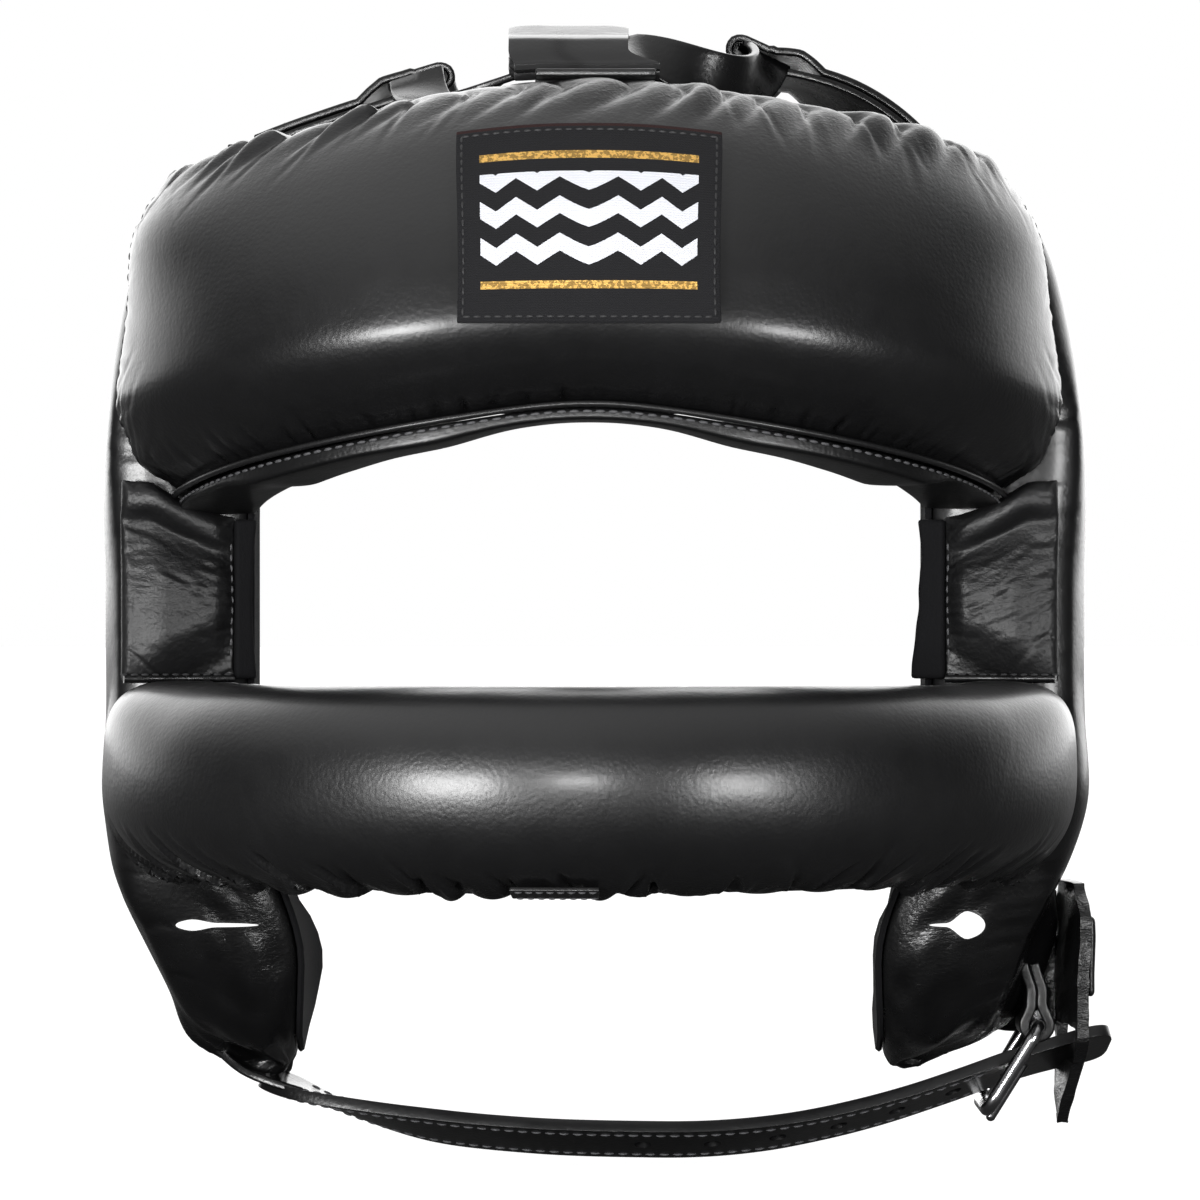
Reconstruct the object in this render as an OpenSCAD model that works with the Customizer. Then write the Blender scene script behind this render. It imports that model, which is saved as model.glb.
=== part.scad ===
// Boxing headgear with a padded face bar, as worn by an adult.
// +Z is up, the wearer faces -Y, and the origin is the middle of the head cavity.
// "Right" is +X, the right-hand side of the front view.

/* [Head cavity] */
// Width of the cavity between the two linings
head_w = 168; // [150:1:190]
// Reach of the cavity in front of the origin
head_front = 92; // [80:1:105]
// Reach of the cavity behind the origin
head_rear = 104; // [90:1:120]
// Squareness of the cavity in plan, where 2 is an ellipse
head_square = 2.6; // [2:0.1:3.2]
// Height above which the cavity closes in like a dome
dome_start = 20; // [0:1:40]
// Height over which that dome would close
dome_height = 150; // [135:1:180]
// Share of the width lost at the jaw
jaw_narrow = 0.15; // [0.05:0.01:0.2]
// Height at which the jaw starts to narrow
jaw_start = -45; // [-60:1:-30]

/* [Leather and foam] */
// Thickness of the outer leather
leather = 2; // [1.5:0.1:2.5]
// Thickness of the lining
lining = 1.6; // [1:0.1:2.5]
// Space left between two layers or two pieces
layer_gap = 0.3; // [0.2:0.05:0.5]
// Space left between the foam and its cover
foam_gap = 0.7; // [0.4:0.05:0.8]
// Thickness of the pads where they are fullest
pad_t = 38; // [28:1:44]
// Thickness of a pad at a turned edge
edge_t = 8; // [6.5:0.5:12]

/* [Forehead pad] */
// Plan angle of the seams beside the forehead pad
seam_a = 73; // [68:1:78]
// Height of the lower edge in the middle
brow_z = 44.8; // [38:0.2:50]
// Fall of the lower edge for each degree of plan angle
brow_fall = 0.297; // [0.1:0.001:0.32]
// Plan angle over which the lower edge is rounded in the middle
brow_round = 3; // [1:0.5:8]
// Height of the upper edge in the middle
fore_top = 123; // [112:1:126]
// Drop of the upper edge towards the seams
fore_drop = 15; // [8:1:20]
// Thickness of the pad at its lower edge
brow_t = 20; // [14:1:26]
// Thickness of the pad at its gathered upper edge
fore_top_t = 15; // [9:1:20]
// Extra thickness of the upper edge at the two corners
corner_t = 16; // [0:1:18]
// Height of the flat hem under the pad
hem_h = 3.4; // [2:0.2:6]

/* [Woven patch] */
// Half of the patch's angle in plan
patch_a = 11.8; // [8:0.2:16]
// How much further round the patch's top reaches, where the pad curves in
patch_flare = 3; // [0:0.5:4]
// Height of the patch's lower edge
patch_low = 63; // [56:1:70]
// Height of the patch's upper edge
patch_high = 108; // [96:1:110]
// Thickness of the patch
patch_t = 1.2; // [0.8:0.1:2]

/* [Side pads] */
// Height of the top edge
side_top = 110; // [98:1:113]
// Height of the bottom edge
side_bottom = -116; // [-122:1:-106]
// Plan angle of the rear edge behind the ear
ear_a = 98; // [94:1:106]
// Plan angle of the rear edge of the upper wing
upper_a = 140; // [125:1:150]
// Plan angle of the rear edge of the lower wing
lower_a = 132; // [118:1:145]
// Plan angle of the rear edge of the jaw lobe
lobe_a = 106; // [100:1:112]
// Upper end of the ear notch
ear_top = 46; // [40:1:52]
// Lower end of the ear notch
ear_low = -24; // [-30:1:-18]
// Height at which the lower wing ends and the jaw lobe starts
lobe_top = -70; // [-74:1:-66]
// Extra thickness of the pad beside the jaw
jaw_extra = 3; // [0:0.5:5]
// Height of the slit between the lower wing and the jaw lobe
slit_z = -80; // [-84:1:-78]
// Opening of that slit
slit_h = 3; // [1.5:0.5:4]
// Leather and foam left outside the slit
slit_wall = 14; // [10:1:18]
// Thickness of the pad at its top edge
side_top_t = 27; // [10:1:30]
// Height of the rounded shoulder below the top edge
shoulder_h = 30; // [20:1:62]

/* [Face bar] */
// Half-width of the bar's centre line
bar_half_w = 97; // [90:1:100]
// Reach of the bar's centre line in front of the origin
bar_reach = 131; // [124:1:140]
// Height of the bar's centre line
bar_z = -42.8; // [-46:0.2:-40]
// Half-height of the bar
bar_half_h = 23.2; // [18:0.1:24]
// Half-depth of the bar
bar_half_d = 21; // [17:0.5:22]
// Radius of the stiff rod inside the bar
core_r = 6; // [4:0.5:8]
// Depth to which the rod reaches into each side pad
core_leg = 34; // [20:1:40]
// Number of gathers along the lower seam
bar_folds = 16; // [9:1:25]
// How far the gathered lower seam draws the cover in
gather = 1.8; // [0.5:0.1:3]

/* [Cheek panels] */
// Plan angle that the panels bulge forward of the seam
cheek_a = 14; // [8:1:18]
// Plan angle that the bindings reach forward of the seam
strip_a = 2.8; // [1:0.2:12]
// Height of a panel's lower edge
cheek_low = -18.6; // [-19:0.2:-14]
// Radial depth of a panel
cheek_d = 31; // [22:1:32]

/* [Crown] */
// Half-width of the strap ring on the crown
ring_half_w = 43; // [38:1:50]
// Half-length of the strap ring on the crown
ring_half_l = 53; // [46:1:58]
// How far the ring's centre lies in front of the origin
ring_front = 8; // [0:1:15]
// Height of the ring's centre
ring_z = 129.5; // [127:0.5:132]
// Rise of the ring from its middle to its right side
ring_rise = 3; // [0:0.5:5]
// Rise of the ring from its rear to its middle, and on to its front
ring_pitch = 2.5; // [0:0.5:4]
// Slope of the ring and of the tabs at the front
ring_slope = 21.5; // [16:0.5:26]
// How much steeper the ring lies at the right than at the front, and flatter at the left
slope_side = 3.5; // [0:0.5:5]
// How much steeper the ring lies at the rear than at the front
slope_rear = 17; // [10:1:22]
// Width of the crown strap
crown_w = 14; // [10:1:16]
// Thickness of the crown strap
crown_t = 2; // [1.5:0.1:2.2]
// Room for the crown strap in each tab, beyond its thickness and width
tunnel_room = 1.4; // [1:0.1:2]
// Width of the front and rear tabs
tab_w = 29; // [22:1:34]
// Width of the side tabs
side_tab_w = 44; // [34:1:50]

/* [Rear straps] */
// Lower edge of the rear strap
rear_low = 50; // [47:1:56]
// Upper edge of the rear strap
rear_high = 84; // [76:1:88]
// Lower edge of the nape strap
nape_low = -66; // [-70:1:-60]
// Upper edge of the nape strap
nape_high = -34; // [-42:1:-32]
// Plan angle that each free end reaches past the middle
overlap_a = 14; // [8:1:20]
// Thickness of a rear strap
rear_t = 3; // [2:0.2:4]
// Thickness of one half of the hook and loop tape
tape_t = 1; // [0.7:0.1:1.5]

/* [Chin strap] */
// Width of the strap
chin_w = 20; // [16:1:22]
// Thickness of the strap
chin_t = 3; // [2.4:0.1:3.4]
// Tilt of the strap's face under the chin
chin_tilt = 24; // [15:1:32]
// Diameter of the punched holes
hole_d = 4.6; // [4.2:0.1:5.2]
// Number of punched holes
hole_n = 6; // [3:1:7]

/* [Buckle] */
// Wire diameter of the buckle frame
wire_d = 3.4; // [2.8:0.1:4]
// Distance between the frame's two long bars
frame_h = 24; // [21:0.5:26]
// Distance between the frame's two short sides
frame_w = 29; // [26:0.5:32]
// Width of the prong
prong_d = 2.4; // [2:0.1:2.8]
// Running clearance on the bar that the chape and the prong turn on
turn_gap = 0.06; // [0.04:0.01:0.1]
// Slope of the frame away from upright
frame_slope = 32; // [26:1:36]
// Thickness of the chape leather
chape_t = 1.8; // [1.4:0.1:2.2]
// Width of the chape
chape_w = 15; // [12:1:18]

/* [Buckle guard] */
// Height of the guard's sewn top
guard_top = -70; // [-76:1:-66]
// Length of the guard down to its point
guard_l = 60; // [50:1:66]
// Width of the guard
guard_w = 38; // [34:1:42]
// Thickness of the guard
guard_t = 3; // [2:0.1:3.2]
// Turn of the guard, its front edge outwards
guard_turn = 4; // [0:1:8]
// Room for the strap at each side of the guard's slot
slot_side = 4.5; // [3:0.5:5]
// Room for the strap above and below in the guard's slot
slot_face = 3; // [2:0.1:3.5]

/* [Hidden] */

jaw_span = 45;
hide = "#2b2b2d";
hide_dark = "#1c1c1e";
foam_grey = "#7a7d80";
fine = 40;
// Share of a pad's thickness that is lost in the groove of a seam
seam_dent = 0.15;
// Space under a sewn patch and between a cheek panel and the hem
seat_gap = 2.5 * layer_gap;
fore_a = seam_a - 0.35;
gap_a = 0.35;

// Smooth step from 0 to 1
function ease(t) = let (c = min(max(t, 0), 1)) c * c * (3 - 2 * c);

// Quarter-round rise from 0 to 1, as a stuffed edge has
function stuffed(t) = let (c = min(max(t, 0), 1)) sqrt(1 - (1 - c) * (1 - c));

// Grid places from 0 to 1 that lie closer together at both ends
function spread(t) = 0.5 * t + 0.25 * (1 - cos(180 * t));

// Power that keeps the sign
function signed_pow(v, p) = sign(v) * pow(abs(v), p);

// Share of the cavity's size that is left at height z
function cavity_share(z) =
    z > dome_start ? sqrt(1 - pow((z - dome_start) / dome_height, 2))
    : 1 - jaw_narrow * ease((jaw_start - z) / jaw_span);

// Point on the cavity wall at plan angle a from the front and height z, moved out by d
function wall(a, z, d) =
    let (k = cavity_share(z),
         hx = head_w / 2,
         hy = cos(a) > 0 ? head_front : head_rear,
         x = hx * signed_pow(sin(a), 2 / head_square),
         y = -hy * signed_pow(cos(a), 2 / head_square),
         nx = signed_pow(x / hx, head_square - 1) / hx,
         ny = signed_pow(y / hy, head_square - 1) / hy,
         m = norm([nx, ny]))
    [k * x + d * nx / m, k * y + d * ny / m, z];

// Points of a smooth curve through hand-set points, n steps for each span
function smooth_path(p, n) =
    [for (i = [0 : len(p) - 2]) for (s = [0 : n - 1]) spline_at(p, i, s / n),
     p[len(p) - 1]];
function spline_at(p, i, t) =
    let (a = p[max(i - 1, 0)], b = p[i], c = p[i + 1], d = p[min(i + 2, len(p) - 1)])
    0.5 * (2 * b + t * (c - a) + t * t * (2 * a - 5 * b + 4 * c - d)
           + t * t * t * (3 * b - 3 * c + d - a));
function unit(v) = v / norm(v);

// Closed slab over a grid: f(u, v, d) is the point at u, v on the inner (0) or outer (1) face
module slab(f, nu, nv) {
    row = nu + 1;
    layer = row * (nv + 1);
    points = [for (d = [0, 1]) for (j = [0 : nv]) for (i = [0 : nu]) f(i / nu, j / nv, d)];
    skins = [for (j = [0 : nv - 1]) for (i = [0 : nu - 1])
             let (a = j * row + i, b = a + 1, c = a + row + 1, d = a + row)
             each [[a, b, c], [a, c, d],
                   [layer + a, layer + d, layer + c], [layer + a, layer + c, layer + b]]];
    low_high = [for (i = [0 : nu - 1])
                let (a = i, b = i + 1, e = nv * row + i, g = e + 1)
                each [[a, layer + a, layer + b], [a, layer + b, b],
                      [e, g, layer + g], [e, layer + g, layer + e]]];
    sides = [for (j = [0 : nv - 1])
             let (a = j * row, b = a + row, e = a + nu, g = b + nu)
             each [[a, b, layer + b], [a, layer + b, layer + a],
                   [e, layer + e, layer + g], [e, layer + g, g]]];
    polyhedron(points, concat(skins, low_high, sides), convexity = 8);
}

// Hollow sleeve: f(u, v, d) is the point round (u) and along (v) on the inner or outer face
module sleeve(f, nu, nv) {
    layer = nu * (nv + 1);
    points = [for (d = [0, 1]) for (j = [0 : nv]) for (i = [0 : nu - 1]) f(i / nu, j / nv, d)];
    skins = [for (j = [0 : nv - 1]) for (i = [0 : nu - 1])
             let (k = (i + 1) % nu, a = j * nu + i, b = j * nu + k, c = b + nu, d = a + nu)
             each [[a, b, c], [a, c, d],
                   [layer + a, layer + d, layer + c], [layer + a, layer + c, layer + b]]];
    ends = [for (i = [0 : nu - 1])
            let (k = (i + 1) % nu, e = nv * nu + i, g = nv * nu + k)
            each [[i, layer + i, layer + k], [i, layer + k, k],
                  [e, g, layer + g], [e, layer + g, layer + e]]];
    polyhedron(points, concat(skins, ends), convexity = 8);
}

// Solid loft through rings with equal numbers of points
module loft(rings) {
    n = len(rings[0]);
    m = len(rings) - 1;
    points = [for (r = rings) each r];
    skins = [for (j = [0 : m - 1]) for (i = [0 : n - 1])
             let (k = (i + 1) % n, a = j * n + i, b = j * n + k, c = b + n, d = a + n)
             each [[a, d, c], [a, c, b]]];
    caps = [for (i = [1 : n - 2]) each [[0, i, i + 1], [m * n, m * n + i + 1, m * n + i]]];
    polyhedron(points, concat(skins, caps), convexity = 6);
}

// Lower and upper edge of the forehead pad, and its thickness there
function fore_low(a) = brow_z - brow_fall * (norm([a, brow_round]) - brow_round);
function fore_high(a) = fore_top - fore_drop * pow(a / seam_a, 2);
function fore_t(a, z) =
    let (v = (z - fore_low(a)) / (fore_high(a) - fore_low(a)),
         low = sin(90 * min(v / 0.28, 1)),
         high = stuffed((1 - v) / 0.62),
         top = fore_top_t + corner_t * ease((abs(a) - 25) / 40),
         seam = 1 - seam_dent * pow(1 - stuffed((seam_a - abs(a)) / 14), 2))
    (brow_t + (pad_t - brow_t) * low - (pad_t - top) * (1 - high)) * seam;

module forehead_layer(from, to, nu, nv, inset) {
    slab(function (u, v, d)
         let (a = (2 * u - 1) * fore_a,
              low = fore_low(a),
              tall = fore_high(a) - low,
              z = low + spread(v) * tall)
         wall(a * (1 - inset / fore_a), low + inset + spread(v) * (tall - 2 * inset),
              d == 0 ? from(a, z) : to(a, z)), nu, nv);
}

module forehead_cover() {
    color(hide)
        forehead_layer(function (a, z) fore_t(a, z) - leather,
                       function (a, z) fore_t(a, z), 26, 12, 0);
}

module forehead_foam() {
    color(foam_grey)
        forehead_layer(function (a, z) lining + layer_gap,
                       function (a, z) fore_t(a, z) - leather - foam_gap, 13, 12, 1);
}

module forehead_lining() {
    color(hide_dark)
        forehead_layer(function (a, z) 0, function (a, z) lining, 13, 6, 1);
}

module brow_hem() {
    color(hide_dark)
        slab(function (u, v, d)
             let (a = (2 * u - 1) * fore_a)
             wall(a, fore_low(a) - layer_gap - (1 - v) * hem_h,
                  d == 0 ? 0 : fore_t(a, fore_low(a))), 20, 1);
}

module woven_patch() {
    color("#141415")
        slab(function (u, v, d)
             let (a = (2 * u - 1) * (patch_a + patch_flare * v * v),
                  z = patch_low + v * (patch_high - patch_low) + 2 * sin(180 * u) * v)
             wall(a, z, fore_t(a, z) + seat_gap + d * patch_t), 12, 12);
}

// Front and rear edges of the right side pad, and its thickness there
function side_front(z) =
    seam_a + gap_a + 15 * (1 - stuffed((z - side_bottom) / 45));
function side_rear(z) =
    ear_a + (upper_a - ear_a) * ease((z - ear_top) / 24)
    + (lower_a - ear_a) * ease((ear_low - z) / 20) * ease((z - lobe_top + 9) / 18)
    + (lobe_a - ear_a) * ease((lobe_top - z) / 18)
    - (lobe_a - ear_a) * (1 - stuffed((z - side_bottom) / 40))
    - 16 * (1 - stuffed((side_top - z) / 30));
function side_t(u, z) =
    let (full = pad_t + jaw_extra * ease((-20 - z) / 30),
         rear = stuffed((1 - u) / 0.3),
         low = stuffed((z - side_bottom) / 52),
         high = side_top_t + (full - side_top_t) * stuffed((side_top - z) / shoulder_h),
         seam = 1 - seam_dent * pow(1 - stuffed(u / 0.25), 2))
    edge_t + (high - edge_t) * rear * low * seam;

module side_layer(from, to, nu, nv, inset) {
    slab(function (u, v, d)
         let (z = side_bottom + spread(v) * (side_top - side_bottom),
              a0 = side_front(z) + inset,
              a1 = side_rear(z) - inset)
         wall(a0 + u * (a1 - a0), z + inset * (1 - 2 * spread(v)), d == 0 ? from(u, z) : to(u, z)),
         nu, nv);
}

// A slit from front to back lets the jaw lobe give
module jaw_slit(more) {
    outer = wall(90, slit_z, side_t(0.5, slit_z) - slit_wall).x + more;
    translate([0, -head_front, slit_z - slit_h / 2 - more])
        cube([outer, head_front + head_rear, slit_h + 2 * more]);
}

module side_cover() {
    color(hide)
        difference() {
            side_layer(function (u, z) side_t(u, z) - leather,
                       function (u, z) side_t(u, z), 12, 26, 0);
            jaw_slit(0);
        }
}

// The foam has a straight channel for the end of the stiff rod
module side_foam() {
    color(foam_grey)
        difference() {
            side_layer(function (u, z) lining + layer_gap,
                       function (u, z) side_t(u, z) - leather - foam_gap, 6, 26, 0.6);
            jaw_slit(layer_gap);
            translate([bar_half_w, bar_end_y - 8, bar_z])
                rotate([-90, 0, 0])
                    cylinder(r = core_r + layer_gap, h = core_leg + 9, $fn = fine);
        }
}

module side_lining() {
    color(hide_dark)
        difference() {
            side_layer(function (u, z) 0, function (u, z) lining, 6, 26, 0.6);
            jaw_slit(0);
        }
}

module right_side_cover() { side_cover(); }
module right_side_foam() { side_foam(); }
module right_side_lining() { side_lining(); }
module left_side_cover() { mirror([1, 0, 0]) side_cover(); }
module left_side_foam() { mirror([1, 0, 0]) side_foam(); }
module left_side_lining() { mirror([1, 0, 0]) side_lining(); }

// Height between a panel's lower edge and the hem above it, at plan angle a
function cheek_h(a) = fore_low(a) - hem_h - seat_gap - cheek_low;

// The panel bulges forward from the front end of the side pad
module cheek_panel() {
    color(hide)
        slab(function (u, v, d)
             let (puff = (0.3 + 0.7 * stuffed(4 * u * (1 - u))) * (0.4 + 0.6 * stuffed(5 * v * (1 - v))),
                  a = seam_a - (d == 0 ? 0 : cheek_a * puff))
             wall(a, cheek_low + v * cheek_h(a), lining + layer_gap + u * (cheek_d - lining)), 7, 8);
}

module cheek_binding() {
    color(hide_dark)
        slab(function (u, v, d)
             let (a = seam_a - strip_a * (1 - u))
             wall(a, cheek_low + v * cheek_h(a), d * lining), 4, 2);
}

module right_cheek_panel() { cheek_panel(); }
module left_cheek_panel() { mirror([1, 0, 0]) cheek_panel(); }
module right_cheek_binding() { cheek_binding(); }
module left_cheek_binding() { mirror([1, 0, 0]) cheek_binding(); }

// The bar's ends lean like the side pads' front faces and stop just short of them
bar_lean = 0.2;
bar_end_y = wall(seam_a + gap_a, bar_z, bar_half_w - head_w / 2).y - 1.2;

// Centre line of the bar in plan, and its outward direction, for v from 0 (left) to 1 (right)
function bar_turn(v) = (2 * v - 1) * 90;
function bar_mid(v) =
    [bar_half_w * sin(bar_turn(v)), bar_end_y - (bar_reach + bar_end_y) * cos(bar_turn(v)), bar_z];
function bar_out(v) =
    unit([sin(bar_turn(v)) * (bar_reach + bar_end_y), -cos(bar_turn(v)) * bar_half_w, 0]);

// The section is a soft square, drawn in along the gathered seam under its front
function bar_point(u, v, less) =
    let (p = 360 * u,
         drawn = gather * exp(-pow((p - 290) / 13, 2)) * (1 + 0.5 * cos(360 * bar_folds * v)),
         x = (bar_half_d - less - drawn) * signed_pow(cos(p), 0.86),
         z = (bar_half_h - less - drawn) * signed_pow(sin(p), 0.86))
    bar_mid(v) + x * (bar_out(v) - [0, bar_lean * ease(abs(2 * v - 1) * 8 - 7), 0]) + [0, 0, z];

module face_bar_cover() {
    color(hide)
        sleeve(function (u, v, d) bar_point(1 - u, v, d == 0 ? leather : 0), 18, 2 * bar_folds);
}

module face_bar_foam() {
    color(foam_grey)
        sleeve(function (u, v, d)
               d == 1 ? bar_point(1 - u, v, leather + gather * 1.5 + layer_gap)
               : bar_mid(v) + (core_r + layer_gap)
                 * (cos(-360 * u) * bar_out(v) + [0, 0, sin(-360 * u)]), 12, 24);
}

// A bent rod with straight legs that reach into the side pads
module face_bar_rod() {
    n = 12;
    steps = 24;
    arc = [for (i = [0 : steps]) let (v = i / steps) [bar_mid(v), bar_out(v)]];
    legs = [[bar_half_w, bar_end_y + core_leg, bar_z], [1, 0, 0]];
    route = concat([[[-legs[0].x, legs[0].y, legs[0].z], [-1, 0, 0]]], arc, [legs]);
    color("#d9d6cc")
        loft([for (s = route) [for (i = [0 : n - 1])
              s[0] + core_r * (cos(360 * i / n) * s[1] + [0, 0, sin(360 * i / n)])]]);
}

// A stitched leather patch where the ends of the gathered seam meet
module bar_seam_patch() {
    color(hide_dark)
        slab(function (u, v, d)
             bar_point((294 + 16 * v) / 360, 0.475 + 0.05 * u, -seat_gap - d * 1.4), 4, 3);
}

// The tabs pull the ring almost square in plan
ring_square = 4;

// Middle of the crown ring at turn t, where 0 is the right and 90 the rear
function ring_mid(t) =
    [ring_half_w * signed_pow(cos(t), 2 / ring_square),
     ring_half_l * signed_pow(sin(t), 2 / ring_square) - ring_front,
     ring_z + ring_rise * cos(t) - ring_pitch * sin(t)];
function slope_at(t) = ring_slope + slope_side * cos(t) + slope_rear * pow(max(sin(t), 0), 2);
function ring_normal(t) =
    unit([ring_half_l * signed_pow(cos(t), 2 - 2 / ring_square),
          ring_half_w * signed_pow(sin(t), 2 - 2 / ring_square), 0]);
function ring_out(t) =
    let (r = ring_normal(t))
    r * cos(slope_at(t)) - [0, 0, sin(slope_at(t))];
function ring_up(t) =
    let (r = ring_normal(t))
    r * sin(slope_at(t)) + [0, 0, cos(slope_at(t))];

// The free end lies over the start of the strap on the left
module crown_strap() {
    from = 188;
    turn = 352;
    steps = 40;
    color(hide_dark)
        loft([for (i = [0 : steps])
              let (t = from + turn * i / steps, m = ring_mid(t),
                   o = ring_out(t) * crown_w / 2, h = ring_up(t) * crown_t / 2)
              [m - o - h, m - o + h, m + o + h, m + o - h]]);
}

// Side outline of a folded tab: it starts at 0 and its fold ends at length l
module tab_outline(l) {
    tunnel_l = crown_w + tunnel_room * 2;
    tunnel_h = crown_t + tunnel_room;
    outer_h = tunnel_h + 2 * leather;
    difference() {
        union() {
            translate([0, -outer_h / 2])
                square([l - outer_h / 2, outer_h]);
            translate([l - outer_h / 2, 0])
                circle(d = outer_h, $fn = fine);
        }
        translate([l - leather - tunnel_l + tunnel_h / 2, 0])
            circle(d = tunnel_h, $fn = fine);
        translate([l - leather - tunnel_h / 2, 0])
            circle(d = tunnel_h, $fn = fine);
        translate([l - leather - tunnel_l + tunnel_h / 2, -tunnel_h / 2])
            square([tunnel_l - tunnel_h, tunnel_h]);
        // A wedge taken off above thins the sewn foot
        translate([-1, leather - outer_h / 2 + leather])
            square([l - leather - tunnel_l - 4, outer_h]);
    }
}

// Distance from the middle of the tunnel to the tip of the fold
tab_reach = leather + crown_w / 2 + tunnel_room;

// Distance along the slope from the ring at turn t down to height z
function tab_drop(t, z) = (ring_mid(t).z - z) / sin(slope_at(t));

// A tab whose tunnel holds the ring at turn t, and whose foot comes down to height foot_z
module crown_tab(t, foot_z, w) {
    drop = tab_drop(t, foot_z);
    translate(ring_mid(t))
        rotate([0, 0, t])
            rotate([0, slope_at(t), 0])
                translate([drop, w / 2, 0])
                    rotate([90, 0, 0])
                        mirror([1, 0, 0])
                            linear_extrude(w)
                                tab_outline(drop + tab_reach);
}

// The flat foot of a tab, sewn on the top edge of a pad from in to out in front of the origin
module tab_foot(t, pad_z, in, out, w) {
    rotate([0, 0, t])
        translate([in, -w / 2, pad_z + layer_gap])
            cube([out - in, w, leather]);
}
foot_rise = (crown_t + tunnel_room) / 2 + leather + 0.2;

module sewn_tab(t, pad_z, in, out, w) {
    color(hide) {
        crown_tab(t, pad_z + layer_gap + foot_rise, w);
        tab_foot(t, pad_z, in, out, w);
    }
}

// The feet lie on the pads' top edges, from just outside the lining to the middle of the cover
lining_edge = 1.5;
cover_edge = 2.5;
fore_in = head_front * cavity_share(fore_top) + lining_edge;
side_in = head_w / 2 * cavity_share(side_top) + lining_edge;

module front_crown_tab() { sewn_tab(-90, fore_top, fore_in, fore_in + fore_top_t - cover_edge, tab_w); }
module right_crown_tab() { sewn_tab(0, side_top, side_in, side_in + side_top_t - cover_edge, side_tab_w); }
module left_crown_tab() { sewn_tab(180, side_top, side_in, side_in + side_top_t - cover_edge, side_tab_w); }

// The rear tab's foot lies flat against the inside of the rear strap
module rear_crown_tab() {
    color(hide) {
        crown_tab(90, rear_high + foot_rise, tab_w);
        slab(function (u, v, d)
             wall(172 + 16 * u, rear_high - 18 + 21 * v, band_d - layer_gap - leather * (1 - d)), 4, 3);
    }
}

// Curved band round the back from plan angle a0 to a1, between two heights and two depths.
// All bands have their grid at the same angles, so that they nest.
band_step = 4;
module rear_band(a0, a1, z0, z1, d0, d1) {
    turns = concat([a0], [for (a = [ceil((a0 + 1) / band_step) * band_step : band_step : a1 - 1]) a],
                   [a1]);
    n = len(turns) - 1;
    slab(function (u, v, d) wall(turns[round(u * n)], z0 + v * (z1 - z0), d == 0 ? d0 : d1), n, 4);
}

// Depths of the four layers that overlap at the back
band_d = 2;
loop_d = band_d + rear_t;
hook_d = loop_d + tape_t + layer_gap;
free_d = hook_d + tape_t;

// Angles from the front over the right side: the left wing ends at 360 minus the right one's
module fixed_band(z0, z1, wing_a) {
    rear_band(180 - overlap_a, 360 - wing_a - gap_a, z0, z1, band_d, band_d + rear_t - layer_gap);
}
module free_band(z0, z1, wing_a) {
    rear_band(wing_a + gap_a, 180 + overlap_a, z0, z1, free_d + layer_gap, free_d + rear_t);
}
module loop_tape(z0, z1) {
    rear_band(182 - overlap_a, 178 + overlap_a, z0 + 3, z1 - 3, loop_d, loop_d + tape_t);
}
module hook_tape(z0, z1) {
    rear_band(182 - overlap_a, 178 + overlap_a, z0 + 3, z1 - 3, hook_d, hook_d + tape_t);
}

module left_rear_strap() { color(hide) fixed_band(rear_low, rear_high, upper_a); }
module rear_loop_tape() { color("#101012") loop_tape(rear_low, rear_high); }
module right_rear_strap() { color(hide) free_band(rear_low, rear_high, upper_a); }
module rear_hook_tape() { color("#101012") hook_tape(rear_low, rear_high); }
module left_nape_strap() { color(hide) fixed_band(nape_low, nape_high, lower_a); }
module nape_loop_tape() { color("#101012") loop_tape(nape_low, nape_high); }
module right_nape_strap() { color(hide) free_band(nape_low, nape_high, lower_a); }
module nape_hook_tape() { color("#101012") hook_tape(nape_low, nape_high); }

// Hand-set points along the middle of the chin strap, from the left lobe to the free tip
chin_points = [[-80, -2, -117.9], [-66, -8, -122.6], [-42, -16, -127.4], [-14, -22, -130.8],
               [13, -24, -132.3], [30, -23, -131.6], [46, -21, -129.8], [61, -18, -127],
               [75.5, -15, -123.5], [89.5, -12, -119.6], [104, -9, -115.5], [118, -6, -112],
               [129, -5, -109.6]];
chin_steps = 3;
chin_route = smooth_path(chin_points, chin_steps);
chin_last = len(chin_route) - 1;
buckle_point = 10;
guard_point = 11;

// Direction along the strap, across its width and out of its face at route step i
function chin_along(i) =
    unit(chin_route[min(i + 1, chin_last)] - chin_route[max(i - 1, 0)]);
function chin_across(i) =
    let (side = unit(cross([0, 0, 1], chin_along(i))))
    let (tilt = chin_tilt * ease(i / 7))
    unit(side * cos(tilt) - [0, 0, sin(tilt)]);
function chin_face(i) = unit(cross(chin_along(i), chin_across(i)));

// The strap narrows to its sewn start and to its rounded tip
function chin_half(i) =
    chin_w / 2 * min(0.25 + 0.75 * stuffed(i / 5), 0.4 + 0.6 * stuffed((chin_last - i) / 2));

module chin_strap() {
    color(hide)
        difference() {
            loft([for (i = [0 : chin_last])
                  let (m = chin_route[i], w = chin_across(i) * chin_half(i),
                       h = chin_face(i) * chin_t / 2)
                  [m - w - h, m + w - h, m + w + h, m - w + h]]);
            for (k = [1 : hole_n])
                translate(chin_points[buckle_point - k])
                    aim(chin_face((buckle_point - k) * chin_steps))
                        cylinder(d = hole_d, h = 4 * chin_t, center = true, $fn = 24);
            translate(prong_hole)
                aim(frame_dir)
                    cylinder(d = hole_d, h = 8 * chin_t, center = true, $fn = 24);
        }
}

// Turns a child's Z axis towards direction f
module aim(f) {
    rotate([0, acos(f.z), atan2(f.y, f.x)])
        children();
}

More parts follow.
